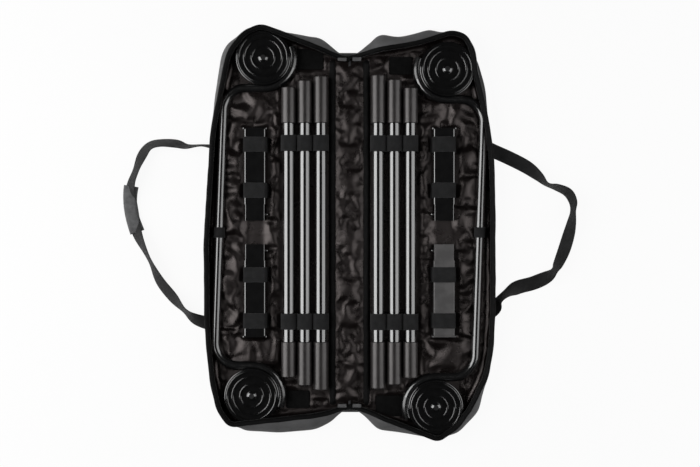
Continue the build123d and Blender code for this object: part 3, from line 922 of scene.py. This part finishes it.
    def build_floor(self) -> None:
        """The crinkled satin floor, flat under what is strapped down and creased between."""
        centre, wide, long = Vector((-0.22, 0.01)), 0.36, 1.16
        mesh = bmesh.new()
        bmesh.ops.create_grid(
            mesh,
            x_segments=round(wide / self.floor_grid),
            y_segments=round(long / self.floor_grid),
            size=0.5,
            matrix=Matrix.Translation((centre.x, centre.y, 0)) @ Matrix.Diagonal((wide, long, 1, 1)),
        )
        gap, cover, seam = self.clearances(np.array([[v.co.x, v.co.y] for v in mesh.verts]))
        free = mesh.verts.layers.float.new("free")
        early = early_share()
        for vertex, edge, clear, fold in zip(mesh.verts, gap, cover, seam):
            border = self.border(edge, fold)
            vertex[free] = border * smoothstep((clear + 0.010) / 0.010)
            share = early * border * smoothstep(clear / 0.012)
            vertex.co.z = LINING_Z + share * self.wrinkle * self.crease(vertex.co)
        outside = [v for v, edge, fold in zip(mesh.verts, gap, seam) if edge < 0.004 or fold < 0]
        bmesh.ops.delete(mesh, geom=outside, context="VERTS")
        mesh.verts.index_update()
        held = [1.0 - v[free] for v in mesh.verts]
        name = f"{self.side.word}_lining_floor"
        piece = finish_piece(mesh, name, LINING_SATIN, side=self.side, up=True)
        Crumple().settle(piece, held, self.limits, LINING_Z)
        corners = [v.co for v in piece.data.vertices]
        wide = max(c.x for c in corners) - min(c.x for c in corners)
        long = max(c.y for c in corners) - min(c.y for c in corners)
        add_subdivision(piece, 1)
        add_thickness(piece, self.lining_thick)
        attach(piece, self.side.half)
        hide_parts(f"{self.side.word}_lining")

    def clearances(self, spots: np.ndarray) -> tuple[np.ndarray, np.ndarray, np.ndarray]:
        """How far places on the left lie from the rim, from what is strapped down, and from the seam.

        Args:
            spots: The places.

        Returns:
            The three distances of each place, negative past the rim, under a piece or past the seam.
        """
        rim = [s.place for s in self.stations if s.place.x < -FOLD_X * 0.7]
        line = np.array([[place.x, place.y] for place in rim])
        cover = np.full(len(spots), 1e9)
        for low, high in self.footprints():
            dx = np.maximum(low.x - spots[:, 0], spots[:, 0] - high.x)
            dy = np.maximum(low.y - spots[:, 1], spots[:, 1] - high.y)
            beyond = np.hypot(np.maximum(dx, 0), np.maximum(dy, 0))
            cover = np.minimum(cover, np.where(beyond > 0, beyond, np.maximum(dx, dy)))
        return self.inside(spots, line), cover, -FOLD_X - spots[:, 0]

    def limits(self, spots: np.ndarray) -> list[float]:
        """How far the lining may rise at places on this side, so that it clears what lies in the tray.

        Args:
            spots: The places.

        Returns:
            The heights above the floor.
        """
        found = []
        for edge, clear, fold in zip(*self.clearances(spots * self.side.value)):
            room = min(1.0, max(0.0, clear - 0.001) / 0.012)
            found.append(self.floor_rise * self.border(edge, fold) * room)
        return found

    @staticmethod
    def border(edge: float, fold: float) -> float:
        """How free the floor is: 0 at the rim and at the seam, 1 well inside both."""
        return smoothstep((edge - 0.010) / 0.02) * smoothstep(fold / 0.012)

    @staticmethod
    def inside(spots: np.ndarray, line: np.ndarray) -> np.ndarray:
        """How far each spot lies inside an outline; negative outside it.

        Args:
            spots: The spots.
            line: The outline's points in order.

        Returns:
            The distances.
        """
        ring = np.vstack([line, line[:1]])
        least = np.full(len(spots), 1e9)
        crossings = np.zeros(len(spots), int)
        for a, b in zip(ring, ring[1:]):
            edge = b - a
            t = np.clip(((spots - a) @ edge) / max(1e-12, edge @ edge), 0, 1)
            least = np.minimum(least, np.linalg.norm(spots - (a + t[:, None] * edge), axis=1))
            spans = (a[1] > spots[:, 1]) != (b[1] > spots[:, 1])
            rise = (spots[:, 1] - a[1]) / (edge[1] if abs(edge[1]) > 1e-12 else 1e-12)
            crossings += spans & (spots[:, 0] < a[0] + rise * edge[0])
        return np.where(crossings % 2 == 1, least, -least)

    def crease(self, spot: Vector) -> float:
        """The height of the satin's creases.

        Args:
            spot: Where, on the left.

        Returns:
            The height, from 0 to about 1.
        """
        seed = self.side.seed
        slant = Vector((spot.x * 0.95 + spot.y * 0.42, spot.y * 0.42 - spot.x * 0.40, 0))
        steep = Vector((spot.x * 1.2 - spot.y * 0.5, spot.y * 0.7 + spot.x * 0.4, 0))
        large = ridged(slant, 0.062, seed + 1)
        small = ridged(steep, 0.036, seed + 2)
        swell = 0.5 + 0.5 * noise.noise(Vector((spot.x * 16, spot.y * 12, seed)))
        return 0.55 * large + 0.30 * small + 0.35 * swell

    def build_binding(self) -> None:
        """The binding rolled over the rim, and the zip tape inside it."""
        profile = (
            (0.0022, -0.0105), (0.0030, -0.0070), (0.0030, -0.0030), (0.0020, 0.0002),
            (0.0000, 0.0010), (-0.0025, 0.0008), (-0.0050, -0.0002), (-0.0075, -0.0022),
            (-0.0088, -0.0050),
        )
        rows = []
        for out, up in profile:
            row = []
            for i, station in enumerate(self.stations):
                wave = 0.0011 * noise.noise(Vector((i * 0.16, self.side.seed, 0.3)))
                row.append(station.at(out + wave, max(0.001, station.top + up)))
            rows.append(row)
        name = f"{self.side.word}_rim_binding"
        piece = finish_piece(skin(rows), name, BINDING, 0.0008, 1, self.side, offset=0.0)
        bend_at_fold(piece)
        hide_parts(f"{self.side.word}_zip_tape")

    def build_teeth(self) -> None:
        """The zip's teeth, along the tape's free edge."""
        dense = Rim(self.rim.corners, step=self.tooth_pitch).stations()
        mesh = bmesh.new()
        for station in dense[4:-4]:
            ahead = Vector((0, 0, 1)).cross(station.outward)
            turn = Matrix((station.outward, ahead, Vector((0, 0, 1)))).transposed().to_4x4()
            place = Matrix.Translation(station.at(-0.0096, max(0.004, station.top - 0.0056)))
            size = Matrix.Diagonal((0.0028, 0.0019, 0.0016, 1.0))
            bmesh.ops.create_cube(mesh, size=1.0, matrix=place @ turn @ size)
        bevel(mesh, mesh.edges[:], 0.00035, 1)
        name = f"{self.side.word}_zip_teeth"
        piece = finish_piece(mesh, name, ZIP_COIL, side=self.side, smooth=False)
        bend_at_fold(piece)


@dataclass
class SpineCloth:
    """The cloth between the trays: panel underneath, crinkled lining, seam bindings and zip ends."""

    half_wide: float = 0.0440
    half_long: float = 0.470
    panel_top: float = 0.0032
    grid: float = 0.0082
    wrinkle: float = 0.0080
    strip_rise: float = 0.0088
    seam_half_long: float = 0.474

    def build(self) -> None:
        """Builds every piece of the spine's cloth."""
        self.build_lining()
        self.build_panel()
        for side in Side:
            self.build_seam(side)
        for end in End:
            self.build_zip_ends(end)

    def build_panel(self) -> None:
        """The outer cloth under the spine."""
        low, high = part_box("spine_panel")
        mesh = bmesh.new()
        bmesh.ops.create_grid(
            mesh,
            x_segments=12,
            y_segments=90,
            size=0.5,
            matrix=Matrix.Diagonal((high.x - low.x, high.y - low.y, 1, 1)),
        )
        for vertex in mesh.verts:
            vertex.co.z = 0.0016 + 0.0003 * noise.noise(vertex.co * 30)
        piece = finish_piece(mesh, "spine_outer_cloth", PACK_CLOTH, 0.0014, 0, up=True)
        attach(piece, "root")
        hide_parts("spine_panel")

    def build_lining(self) -> None:
        """The satin strip over the spine, in large loose folds."""
        mesh = bmesh.new()
        bmesh.ops.create_grid(
            mesh,
            x_segments=round(2 * self.half_wide / self.grid),
            y_segments=round(2 * self.half_long / self.grid),
            size=0.5,
            matrix=Matrix.Diagonal((2 * self.half_wide, 2 * self.half_long, 1, 1)),
        )
        held, early = [], early_share()
        for vertex in mesh.verts:
            spot = vertex.co
            side_room = smoothstep((self.half_wide - abs(spot.x)) / 0.016)
            end_room = 0.25 + 0.75 * smoothstep((self.half_long - abs(spot.y)) / 0.03)
            slant = Vector((spot.x * 1.1 + spot.y * 0.30, spot.y * 0.42 - spot.x * 0.55, 0))
            large = ridged(slant, 0.052, 71.0)
            small = ridged(Vector((spot.x - spot.y * 0.4, spot.y * 0.8, 0)), 0.034, 73.0)
            swell = 0.5 + 0.5 * noise.noise(Vector((spot.x * 14, spot.y * 9, 7.7)))
            height = 0.0012 + self.wrinkle * (0.60 * large + 0.22 * small + 0.35 * swell)
            spot.z = self.panel_top + early * height * side_room * end_room
            held.append(1.0 - side_room * smoothstep((self.half_long - abs(spot.y)) / 0.012))
        piece = finish_piece(mesh, "spine_satin", LINING_SATIN, up=True)
        Crumple(bending=6.0).settle(piece, held, self.limits, self.panel_top)
        add_subdivision(piece, 1)
        add_thickness(piece, 0.0006)
        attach(piece, "root")
        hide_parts("spine_lining")

    def limits(self, spots: np.ndarray) -> list[float]:
        """How far the strip may rise at some places, so that the trays close over it.

        Args:
            spots: The places.

        Returns:
            The heights above the panel.
        """
        found = []
        for x, y in spots:
            side_room = smoothstep((self.half_wide - abs(x)) / 0.014)
            end_room = smoothstep((self.half_long - abs(y)) / 0.014)
            found.append(self.strip_rise * side_room * end_room)
        return found

    def build_seam(self, side: Side) -> None:
        """The black binding sewn over the seam between the spine and a tray.

        Args:
            side: The tray.
        """
        profile = (
            (-0.0385, 0.0050), (-0.0400, 0.0082), (-0.0430, 0.0098), (-0.0470, 0.0104),
            (-0.0510, 0.0098), (-0.0540, 0.0082), (-0.0555, 0.0050),
        )
        count = 150
        rows = []
        for x, z in profile:
            row = []
            for k in range(count + 1):
                y = self.seam_half_long * (2 * k / count - 1)
                wave = 0.0013 * noise.noise(Vector((y * 22, 3.1 + side.seed, 0)))
                sink = smoothstep((self.seam_half_long - abs(y)) / 0.012)
                row.append(Vector((x + wave, y, 0.003 + (z - 0.003) * sink + 0.4 * abs(wave))))
            rows.append(row)
        name = f"{side.word}_seam_binding"
        piece = finish_piece(skin(rows), name, BINDING, 0.0008, 1, side, up=True, offset=0.0)
        bend_at_fold(piece)
        if side is Side.LEFT:
            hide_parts("seam_bindings")

    def build_zip_ends(self, end: End) -> None:
        """The small grey cloth tabs sewn over the zip's two ends.

        Args:
            end: The end of the spine.
        """
        for way in (-1, 1):
            rows = []
            for k in range(7):
                t = k / 6
                y = end.value * (0.4655 + 0.012 * t)
                low = 0.0125 + 0.0035 * math.sin(math.pi * t)
                shares = [u / 6 for u in range(7)]
                rows.append([Vector((way * (0.008 + 0.024 * u), y, low + 0.0015 * u)) for u in shares])
            mesh = skin(rows)
            name = f"{end.name.lower()}_{'left' if way < 0 else 'right'}_zip_tab"
            piece = finish_piece(mesh, name, GRIP_CLOTH, 0.0012, 1, up=True)
            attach(piece, "root")


# ---------------------------------------------------------------- elastic and patches
@dataclass
class Elastics:
    """The elastic loops that hold a tray's pieces down, and its hook-and-loop patches."""

    side: Side
    thick: float = 0.0012

    def build(self) -> None:
        """Builds the loops and the patches."""
        self.build_pole_loops()
        self.build_outer_loops()
        self.build_patches()

    def band(
        self, profile: Sequence[tuple[float, float]], centre: Vector, wide: float, lean: float = 0.0
    ) -> list[list[Vector]]:
        """The rows of a band that runs over a profile.

        Args:
            profile: Points across the band's run, as (sideways, up) from the centre's foot.
            centre: The middle of the band on the floor.
            wide: The band's width along Y.
            lean: How far its sideways direction turns from X, in radians.

        Returns:
            Rows for skin, from one edge of the band to the other.
        """
        sideways = Vector((math.cos(lean), math.sin(lean), 0))
        along = Vector((-math.sin(lean), math.cos(lean), 0))
        line = smooth_line([Vector((s, z, 0)) for s, z in profile], 0.0022)
        rows = []
        count = 14
        for k in range(count + 1):
            t = k / count
            y = (t - 0.5) * wide
            curl = 0.0006 * (abs(2 * t - 1) ** 4)
            row = []
            for p in line:
                sway = 0.0005 * noise.noise(Vector((p.x * 60, centre.y * 31 + k * 0.2, centre.x * 17)))
                row.append(centre + sideways * p.x + along * (y + sway) + Vector((0, 0, p.y + curl)))
            rows.append(row)
        return rows

    def join(self, bands: Iterable[list[list[Vector]]], name: str) -> bpy.types.Object:
        """Makes one piece of several bands.

        Args:
            bands: The rows of each band.
            name: The piece's name.

        Returns:
            The piece.
        """
        whole = bmesh.new()
        for rows in bands:
            part = skin(rows)
            bmesh.ops.recalc_face_normals(part, faces=part.faces)
            data = bpy.data.meshes.new("band")
            part.to_mesh(data)
            part.free()
            whole.from_mesh(data)
            bpy.data.meshes.remove(data)
        return finish_piece(whole, name, ELASTIC, self.thick, 0, self.side, up=True, offset=0.0)

    def build_pole_loops(self) -> None:
        """Six loops, one over each end of each pole, nearly touching along the row."""
        profile = (
            (-0.0206, 0.0062), (-0.0209, 0.0180), (-0.0206, 0.0290), (-0.0188, 0.0365),
            (-0.0120, 0.0412), (0.0, 0.0422), (0.0120, 0.0412), (0.0188, 0.0365),
            (0.0206, 0.0290), (0.0209, 0.0180), (0.0206, 0.0062),
        )
        bands = []
        for pole in POLES:
            low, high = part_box(f"{self.side.word}_{pole}_pole")
            x = self.side.value * (low.x + high.x) / 2
            bands += [self.band(profile, Vector((x, y, 0)), 0.043) for y in (0.241, -0.240)]
        piece = self.join(bands, f"{self.side.word}_pole_elastics")
        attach(piece, self.side.half)
        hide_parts(f"{self.side.word}_pole_loops")

    def build_outer_loops(self) -> None:
        """Two loops over each leg, and a narrow one over the base tube."""
        legs = (
            (-0.0345, 0.0062), (-0.0300, 0.0072), (-0.0298, 0.0120), (-0.0298, 0.0240),
            (-0.0296, 0.0345), (-0.0270, 0.0374), (-0.0150, 0.0378), (0.0, 0.0380),
            (0.0150, 0.0378), (0.0270, 0.0374), (0.0296, 0.0345), (0.0298, 0.0240),
            (0.0298, 0.0120), (0.0300, 0.0072), (0.0345, 0.0062),
        )
        tube = (
            (-0.0190, 0.0062), (-0.0142, 0.0072), (-0.0140, 0.0140), (-0.0134, 0.0230),
            (-0.0090, 0.0292), (0.0, 0.0312), (0.0090, 0.0292), (0.0134, 0.0230),
            (0.0140, 0.0140), (0.0142, 0.0072), (0.0190, 0.0062),
        )
        low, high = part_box(f"{self.side.word}_upper_leg_outer")
        x = self.side.value * (low.x + high.x) / 2
        bands = [self.band(legs, Vector((x, y, 0)), 0.041) for y in (0.238, 0.114, -0.114, -0.238)]
        bands.append(self.band(tube, Vector((-0.3535, 0, 0)), 0.028, -0.0346))
        piece = self.join(bands, f"{self.side.word}_outer_elastics")
        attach(piece, self.side.half)
        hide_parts(f"{self.side.word}_outer_loops")

    def build_patches(self) -> None:
        """Two black hook-and-loop patches with stitched, rounded edges."""
        mesh = bmesh.new()
        for x, y, wide, long in HOOK_PATCHES:
            place = Matrix.Translation((x, y, FLOOR_Z + 0.0026))
            size = Matrix.Diagonal((wide, long, 0.0016, 1))
            made = bmesh.ops.create_cube(mesh, size=1.0, matrix=place @ size)["verts"]
            upright = [
                e for e in {e for v in made for e in v.link_edges}
                if abs(e.verts[0].co.z - e.verts[1].co.z) > 0.001
            ]
            bevel(mesh, upright, 0.004, 5)
        top = [e for e in mesh.edges if min(v.co.z for v in e.verts) > FLOOR_Z + 0.003]
        bevel(mesh, top, 0.0005, 2)
        name = f"{self.side.word}_hook_patches"
        piece = finish_piece(mesh, name, HOOK_PATCH, side=self.side, smooth=False)
        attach(piece, self.side.half)
        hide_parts(f"{self.side.word}_disc_patches")


# ---------------------------------------------------------------- handles
@dataclass(frozen=True)
class Twist:
    """A point of a handle's route on the floor and how far the webbing is rolled there, in degrees."""

    x: float
    y: float
    roll: float


LEFT_HANDLE = (
    Twist(-0.366, 0.232, 66), Twist(-0.400, 0.236, 78), Twist(-0.441, 0.233, 66),
    Twist(-0.471, 0.241, 50), Twist(-0.512, 0.243, 52), Twist(-0.543, 0.235, 46),
    Twist(-0.564, 0.209, 36), Twist(-0.580, 0.168, 52), Twist(-0.595, 0.123, 40),
    Twist(-0.594, 0.062, 8), Twist(-0.577, -0.002, 34), Twist(-0.556, -0.047, 58),
    Twist(-0.538, -0.083, 64), Twist(-0.514, -0.133, 40), Twist(-0.480, -0.176, 36),
    Twist(-0.447, -0.212, 62), Twist(-0.417, -0.236, 30), Twist(-0.376, -0.250, 6),
)
RIGHT_HANDLE = (
    Twist(0.372, 0.232, 4), Twist(0.400, 0.219, 2), Twist(0.433, 0.204, 8), Twist(0.480, 0.179, 24),
    Twist(0.512, 0.153, 54), Twist(0.534, 0.131, 80), Twist(0.562, 0.123, 66),
    Twist(0.592, 0.109, 58), Twist(0.606, 0.084, 66), Twist(0.606, 0.058, 80),
    Twist(0.602, 0.027, 62), Twist(0.595, -0.007, 44), Twist(0.583, -0.047, 40),
    Twist(0.566, -0.086, 56), Twist(0.556, -0.103, 72), Twist(0.536, -0.121, 34),
    Twist(0.501, -0.138, 4), Twist(0.460, -0.149, 10), Twist(0.428, -0.164, 60),
    Twist(0.404, -0.184, 66), Twist(0.395, -0.206, 30), Twist(0.376, -0.222, 10),
)


@dataclass
class Handle:
    """A webbing handle that lies twisted on the floor beside a tray."""

    side: Side
    route: tuple[Twist, ...]
    wide: float = 0.038
    thick: float = 0.0022

    def line(self) -> list[tuple[Vector, Vector, Vector]]:
        """The webbing's middle line, as (place, sideways, up) steps.

        Returns:
            The steps from one end to the other.
        """
        turns = [Vector((t.x, t.y, math.radians(t.roll) * 0.1)) for t in self.route]
        fine = smooth_line(turns, 0.006)
        steps = []
        for i, here in enumerate(fine):
            ahead = fine[min(i + 1, len(fine) - 1)] - fine[max(i - 1, 0)]
            ahead = Vector((ahead.x, ahead.y, 0)).normalized()
            flat = Vector((0, 0, 1)).cross(ahead)
            roll = max(0.0, min(math.radians(86), here.z / 0.1))
            sideways = flat * math.cos(roll) + Vector((0, 0, 1)) * math.sin(roll)
            up = Vector((0, 0, 1)) * math.cos(roll) - flat * math.sin(roll)
            height = 0.0014 + self.wide / 2 * math.sin(roll)
            steps.append((Vector((here.x, here.y, height)), sideways, up))
        return steps

    def build(self) -> None:
        """Builds the webbing along its twisted route."""
        count, steps, columns = 8, self.line(), []
        for k in range(count + 1):
            u = 2 * k / count - 1
            cup = 0.0010 * (1 - u * u)
            out = u * self.wide / 2
            columns.append([place + sideways * out + up * cup for place, sideways, up in steps])
        name = f"{self.side.word}_webbing_handle"
        piece = finish_piece(skin(columns), name, WEBBING, self.thick, 1, offset=0.0)
        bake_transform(piece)
        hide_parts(f"{self.side.word}_handle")


@dataclass
class GripWrap:
    """The padded cuff folded round the left handle's webbing and stitched along its edge."""

    handle: Handle
    first: float = 0.126
    last: float = -0.001
    half_wide: float = 0.0195
    half_thick: float = 0.0062
    swell_frames: int = 14
    swell_most: float = 0.0022

    def build(self) -> None:
        """Builds the cuff, swells it as cloth, and rides it on the handle."""
        steps = [s for s in self.handle.line() if self.last <= s[0].y <= self.first and s[0].x < -0.56]
        rows = []
        ring = 28
        for i, (place, sideways, _) in enumerate(steps):
            flat = Vector((sideways.x, sideways.y, 0)).normalized()
            end = min(i, len(steps) - 1 - i)
            plump = 0.72 + 0.28 * smoothstep(end / 3)
            centre = Vector((place.x, place.y, self.half_thick + 0.0012))
            row = []
            for k in range(ring):
                angle = math.tau * k / ring
                c, s = math.cos(angle), math.sin(angle)
                across = math.copysign(abs(c) ** 0.55, c) * self.half_wide
                lift = math.copysign(abs(s) ** 0.8, s) * self.half_thick * plump
                row.append(centre + flat * across + Vector((0, 0, lift)))
            rows.append(row)
        mesh = skin(rows, closed=True)
        rims = [e for e in mesh.edges if e.is_boundary]
        bmesh.ops.holes_fill(mesh, edges=rims, sides=0)
        caps = [f for f in mesh.faces if len(f.verts) > 4]
        bmesh.ops.triangulate(mesh, faces=caps)
        piece = finish_piece(mesh, "left_grip_cuff", GRIP_CLOTH)
        self.swell(piece)
        add_subdivision(piece, 1)
        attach(piece, "left_handle")
        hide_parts("left_grip_wrap")

    def swell(self, piece: bpy.types.Object) -> None:
        """Puffs the cuff up a little as stuffed cloth, and keeps it on the floor.

        Args:
            piece: The cuff, a closed mesh with no modifiers yet.
        """
        cloth = piece.modifiers.new("cloth", "CLOTH")
        cloth.settings.quality = 5
        cloth.settings.mass = 0.2
        cloth.settings.tension_stiffness = 12.0
        cloth.settings.compression_stiffness = 12.0
        cloth.settings.shrink_min = -0.04
        cloth.settings.use_pressure = True
        cloth.settings.uniform_pressure_force = 3.0
        cloth.settings.effector_weights.gravity = 0.0
        for vertex, after in zip(piece.data.vertices, run_cloth(piece, self.swell_frames)):
            step = after - vertex.co
            if step.length > self.swell_most:
                step *= self.swell_most / step.length
            vertex.co += step
            vertex.co.z = max(0.0004, vertex.co.z)
        bpy.context.scene.frame_set(1)


# ---------------------------------------------------------------- foot discs
@dataclass
class FootDisc:
    """A stepped foot disc: a flange, and rings that step down to a hub with a recess round it.

    Attributes:
        side: The tray that it lies in.
        end: The end that it lies at, on its own side.
        rings: The section's corners, as (radius, height above the flange's underside).
    """

    side: Side
    end: End
    rings: tuple[tuple[float, float], ...] = (
        (0.0112, 0.0065), (0.0124, 0.0034), (0.0288, 0.0034), (0.0289, 0.0066), (0.0323, 0.0066),
        (0.0324, 0.0038), (0.0492, 0.0038), (0.0493, 0.0078), (0.0530, 0.0078), (0.0531, 0.0050),
        (0.0640, 0.0050), (0.0641, 0.0088), (0.0678, 0.0088), (0.0680, 0.0034), (0.0722, 0.0034),
        (0.0739, 0.0024), (0.0739, 0.0008), (0.0725, 0.0001), (0.0655, 0.0), (0.0648, -0.0120),
        (0.0640, -0.0215), (0.0620, -0.0232),
    )
    turns: int = 96

    def build(self) -> None:
        """Spins the section about the disc's middle and rounds its steps."""
        name = f"{self.side.word}_{self.end.name.lower()}_foot_disc"
        low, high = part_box(name)
        middle = Vector(((low.x + high.x) / 2, (low.y + high.y) / 2, high.z - 0.0090))
        mesh = bmesh.new()
        section = [mesh.verts.new((middle.x + r, middle.y, middle.z + z)) for r, z in self.rings]
        for vertex in section:
            vertex.co.z = max(vertex.co.z, low.z + 0.0001)
        edges = [mesh.edges.new(pair) for pair in zip(section, section[1:])]
        bmesh.ops.spin(
            mesh,
            geom=[*section, *edges],
            cent=middle,
            axis=(0, 0, 1),
            angle=math.tau,
            steps=self.turns,
            use_merge=True,
        )
        bmesh.ops.remove_doubles(mesh, verts=mesh.verts, dist=1e-5)
        steps = []
        for edge in mesh.edges:
            inner, outer = (v.co - middle for v in edge.verts)
            level = abs(inner.z - outer.z) < 1e-6
            round_it = abs(inner.to_2d().length - outer.to_2d().length) < 1e-5
            if level and round_it and len(edge.link_faces) == 2 and edge.calc_face_angle(0) > 0.35:
                steps.append(edge)
        bmesh.ops.bevel(
            mesh, geom=steps, offset=0.0012, segments=4, profile=0.5, affect="EDGES", material=-1,
            clamp_overlap=True,
        )
        rims = [e for e in mesh.edges if e.is_boundary]
        bmesh.ops.holes_fill(mesh, edges=rims, sides=0)
        piece = finish_piece(mesh, f"{name}_moulding", DISC_MOULDING)
        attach(piece, f"{self.side.word}_{self.end.name.lower()}_disc")
        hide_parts(name)


# ---------------------------------------------------------------- hard pieces
HARD_FINISHES: tuple[tuple[str, Finish], ...] = (
    ("base_board", BOARD_SHEET),
    ("pole_sleeves", SLEEVE),
    ("_pole", POLE_PAINT),
    ("base_tube_tips", TIP_MOULDING),
    ("base_tube", TUBE_PAINT),
    ("disc_stud", STUD_STEEL),
    ("leg_button", BUTTON_STEEL),
    ("leg_outer", LEG_PAINT),
    ("leg_inner", LEG_PAINT),
    ("zip_slider", ZIP_ENAMEL),
    ("zip_pull", ZIP_ENAMEL),
)


def dress_hard_pieces() -> None:
    """Gives each CAD node that still shows its own finish, and the right lower leg a lighter grey copy
    of the leg paint as painted light.
    """
    # The right lower leg's two pieces get painted light: a lighter grey copy of the black leg paint.
    painted_light_legs = {"right_lower_leg_outer", "right_lower_leg_inner"}
    for name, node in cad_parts.items():
        if node.hide_render:
            continue
        finish = next((f for word, f in HARD_FINISHES if name.endswith(word)), None)
        if finish is None:
            LOG.warning("no finish for %s", name)
            continue
        if name in painted_light_legs:
            finish = PAINTED_LIGHT_LEG_PAINT
        node.data.materials.clear()
        node.data.materials.append(finish.make())
        LOG.info("%s: %s", name, finish.name)


# ---------------------------------------------------------------- studio
@dataclass
class Studio:
    """A pale floor, soft boxes at the sides, and a camera that looks straight down."""

    view_wide: float = 1.89
    lens: float = 50.0
    aim: tuple[float, float, float] = (0.0013, -0.0027, 0.03)

    def build(self) -> None:
        """Builds the floor, the lights, the world and the camera."""
        scene = bpy.context.scene
        scene.view_settings.view_transform = "Standard"
        self.build_floor()
        self.build_world()
        self.soft_box("left_soft_box", (-2.20, 0.05, 1.22), (2.1, 3.4), 90.0)
        self.soft_box("right_soft_box", (2.10, 0.0, 1.30), (1.9, 3.4), 44.0)
        camera = bpy.data.cameras.new("camera")
        camera.lens = self.lens
        camera.sensor_width = 36.0
        holder = bpy.data.objects.new("camera", camera)
        distance = self.view_wide * self.lens / camera.sensor_width
        holder.location = (self.aim[0], self.aim[1], self.aim[2] + distance)
        scene.collection.objects.link(holder)
        scene.camera = holder

    def soft_box(
        self, name: str, place: tuple[float, float, float], size: tuple[float, float], power: float
    ) -> None:
        """Adds a rectangular light that faces the bag.

        Args:
            name: The light's name.
            place: Where it stands.
            size: Its width across and its length along Y.
            power: Its power in watts.
        """
        lamp = bpy.data.lights.new(name, "AREA")
        lamp.shape = "RECTANGLE"
        lamp.size, lamp.size_y = size
        lamp.energy = power
        holder = bpy.data.objects.new(name, lamp)
        holder.location = place
        holder.rotation_euler = (-Vector(place)).to_track_quat("-Z", "Y").to_euler()
        holder.visible_camera = False
        bpy.context.scene.collection.objects.link(holder)

    def build_floor(self) -> None:
        """A wide pale floor that shows white behind the object and keeps its shadow."""
        mesh = bmesh.new()
        bmesh.ops.create_grid(mesh, x_segments=1, y_segments=1, size=30.0)
        data = bpy.data.meshes.new("floor")
        mesh.to_mesh(data)
        mesh.free()
        floor = bpy.data.objects.new("floor", data)
        bpy.context.scene.collection.objects.link(floor)
        material = bpy.data.materials.new("pale_floor")
        material.use_nodes = True
        tree = material.node_tree
        shader = tree.nodes["Principled BSDF"]
        fill(shader, {"Base Color": (0.8, 0.8, 0.8, 1), "Roughness": 0.9, "Specular IOR Level": 0.0})
        glow = tree.nodes.new("ShaderNodeEmission")
        glow.inputs["Strength"].default_value = 1.0
        mix = tree.nodes.new("ShaderNodeMixShader")
        output = tree.nodes["Material Output"]
        tree.links.new(self.seen(tree), mix.inputs["Fac"])
        tree.links.new(shader.outputs["BSDF"], mix.inputs[1])
        tree.links.new(glow.outputs["Emission"], mix.inputs[2])
        tree.links.new(mix.outputs["Shader"], output.inputs["Surface"])
        data.materials.append(material)

    @staticmethod
    def seen(tree: bpy.types.NodeTree) -> bpy.types.NodeSocket:
        """How much of the white shows: nearly all to the camera, all through clear pieces.

        Args:
            tree: The node tree to add to.

        Returns:
            A factor from 0 to 1.
        """
        path = tree.nodes.new("ShaderNodeLightPath")
        camera = tree.nodes.new("ShaderNodeMath")
        camera.operation = "MULTIPLY"
        camera.inputs[1].default_value = 0.93
        total = tree.nodes.new("ShaderNodeMath")
        total.operation = "MAXIMUM"
        tree.links.new(path.outputs["Is Camera Ray"], camera.inputs[0])
        tree.links.new(camera.outputs["Value"], total.inputs[0])
        tree.links.new(path.outputs["Is Transmission Ray"], total.inputs[1])
        return total.outputs["Value"]

    def build_world(self) -> None:
        """A dim studio round the bag, white where the camera sees it."""
        world = bpy.data.worlds.new("studio")
        world.use_nodes = True
        tree = world.node_tree
        back = tree.nodes["Background"]
        fill(back, {"Color": (1.0, 1.0, 1.0, 1), "Strength": 0.02})
        white = tree.nodes.new("ShaderNodeBackground")
        white.inputs["Strength"].default_value = 1.0
        mix = tree.nodes.new("ShaderNodeMixShader")
        tree.links.new(self.seen(tree), mix.inputs["Fac"])
        tree.links.new(back.outputs["Background"], mix.inputs[1])
        tree.links.new(white.outputs["Background"], mix.inputs[2])
        tree.links.new(mix.outputs["Shader"], tree.nodes["World Output"].inputs["Surface"])
        bpy.context.scene.world = world


def main() -> None:
    """Builds the bag's cloth, its handles and elastics, dresses what it holds, and sets the studio."""
    logging.basicConfig(level=logging.INFO, format="%(name)s %(message)s")
    for side in Side:
        TrayCloth(side).build()
        Elastics(side).build()
        for end in End:
            FootDisc(side, end).build()
    SpineCloth().build()
    left = Handle(Side.LEFT, LEFT_HANDLE)
    left.build()
    Handle(Side.RIGHT, RIGHT_HANDLE).build()
    GripWrap(left).build()
    dress_hard_pieces()
    Studio().build()


if __name__ == "__main__":
    main()
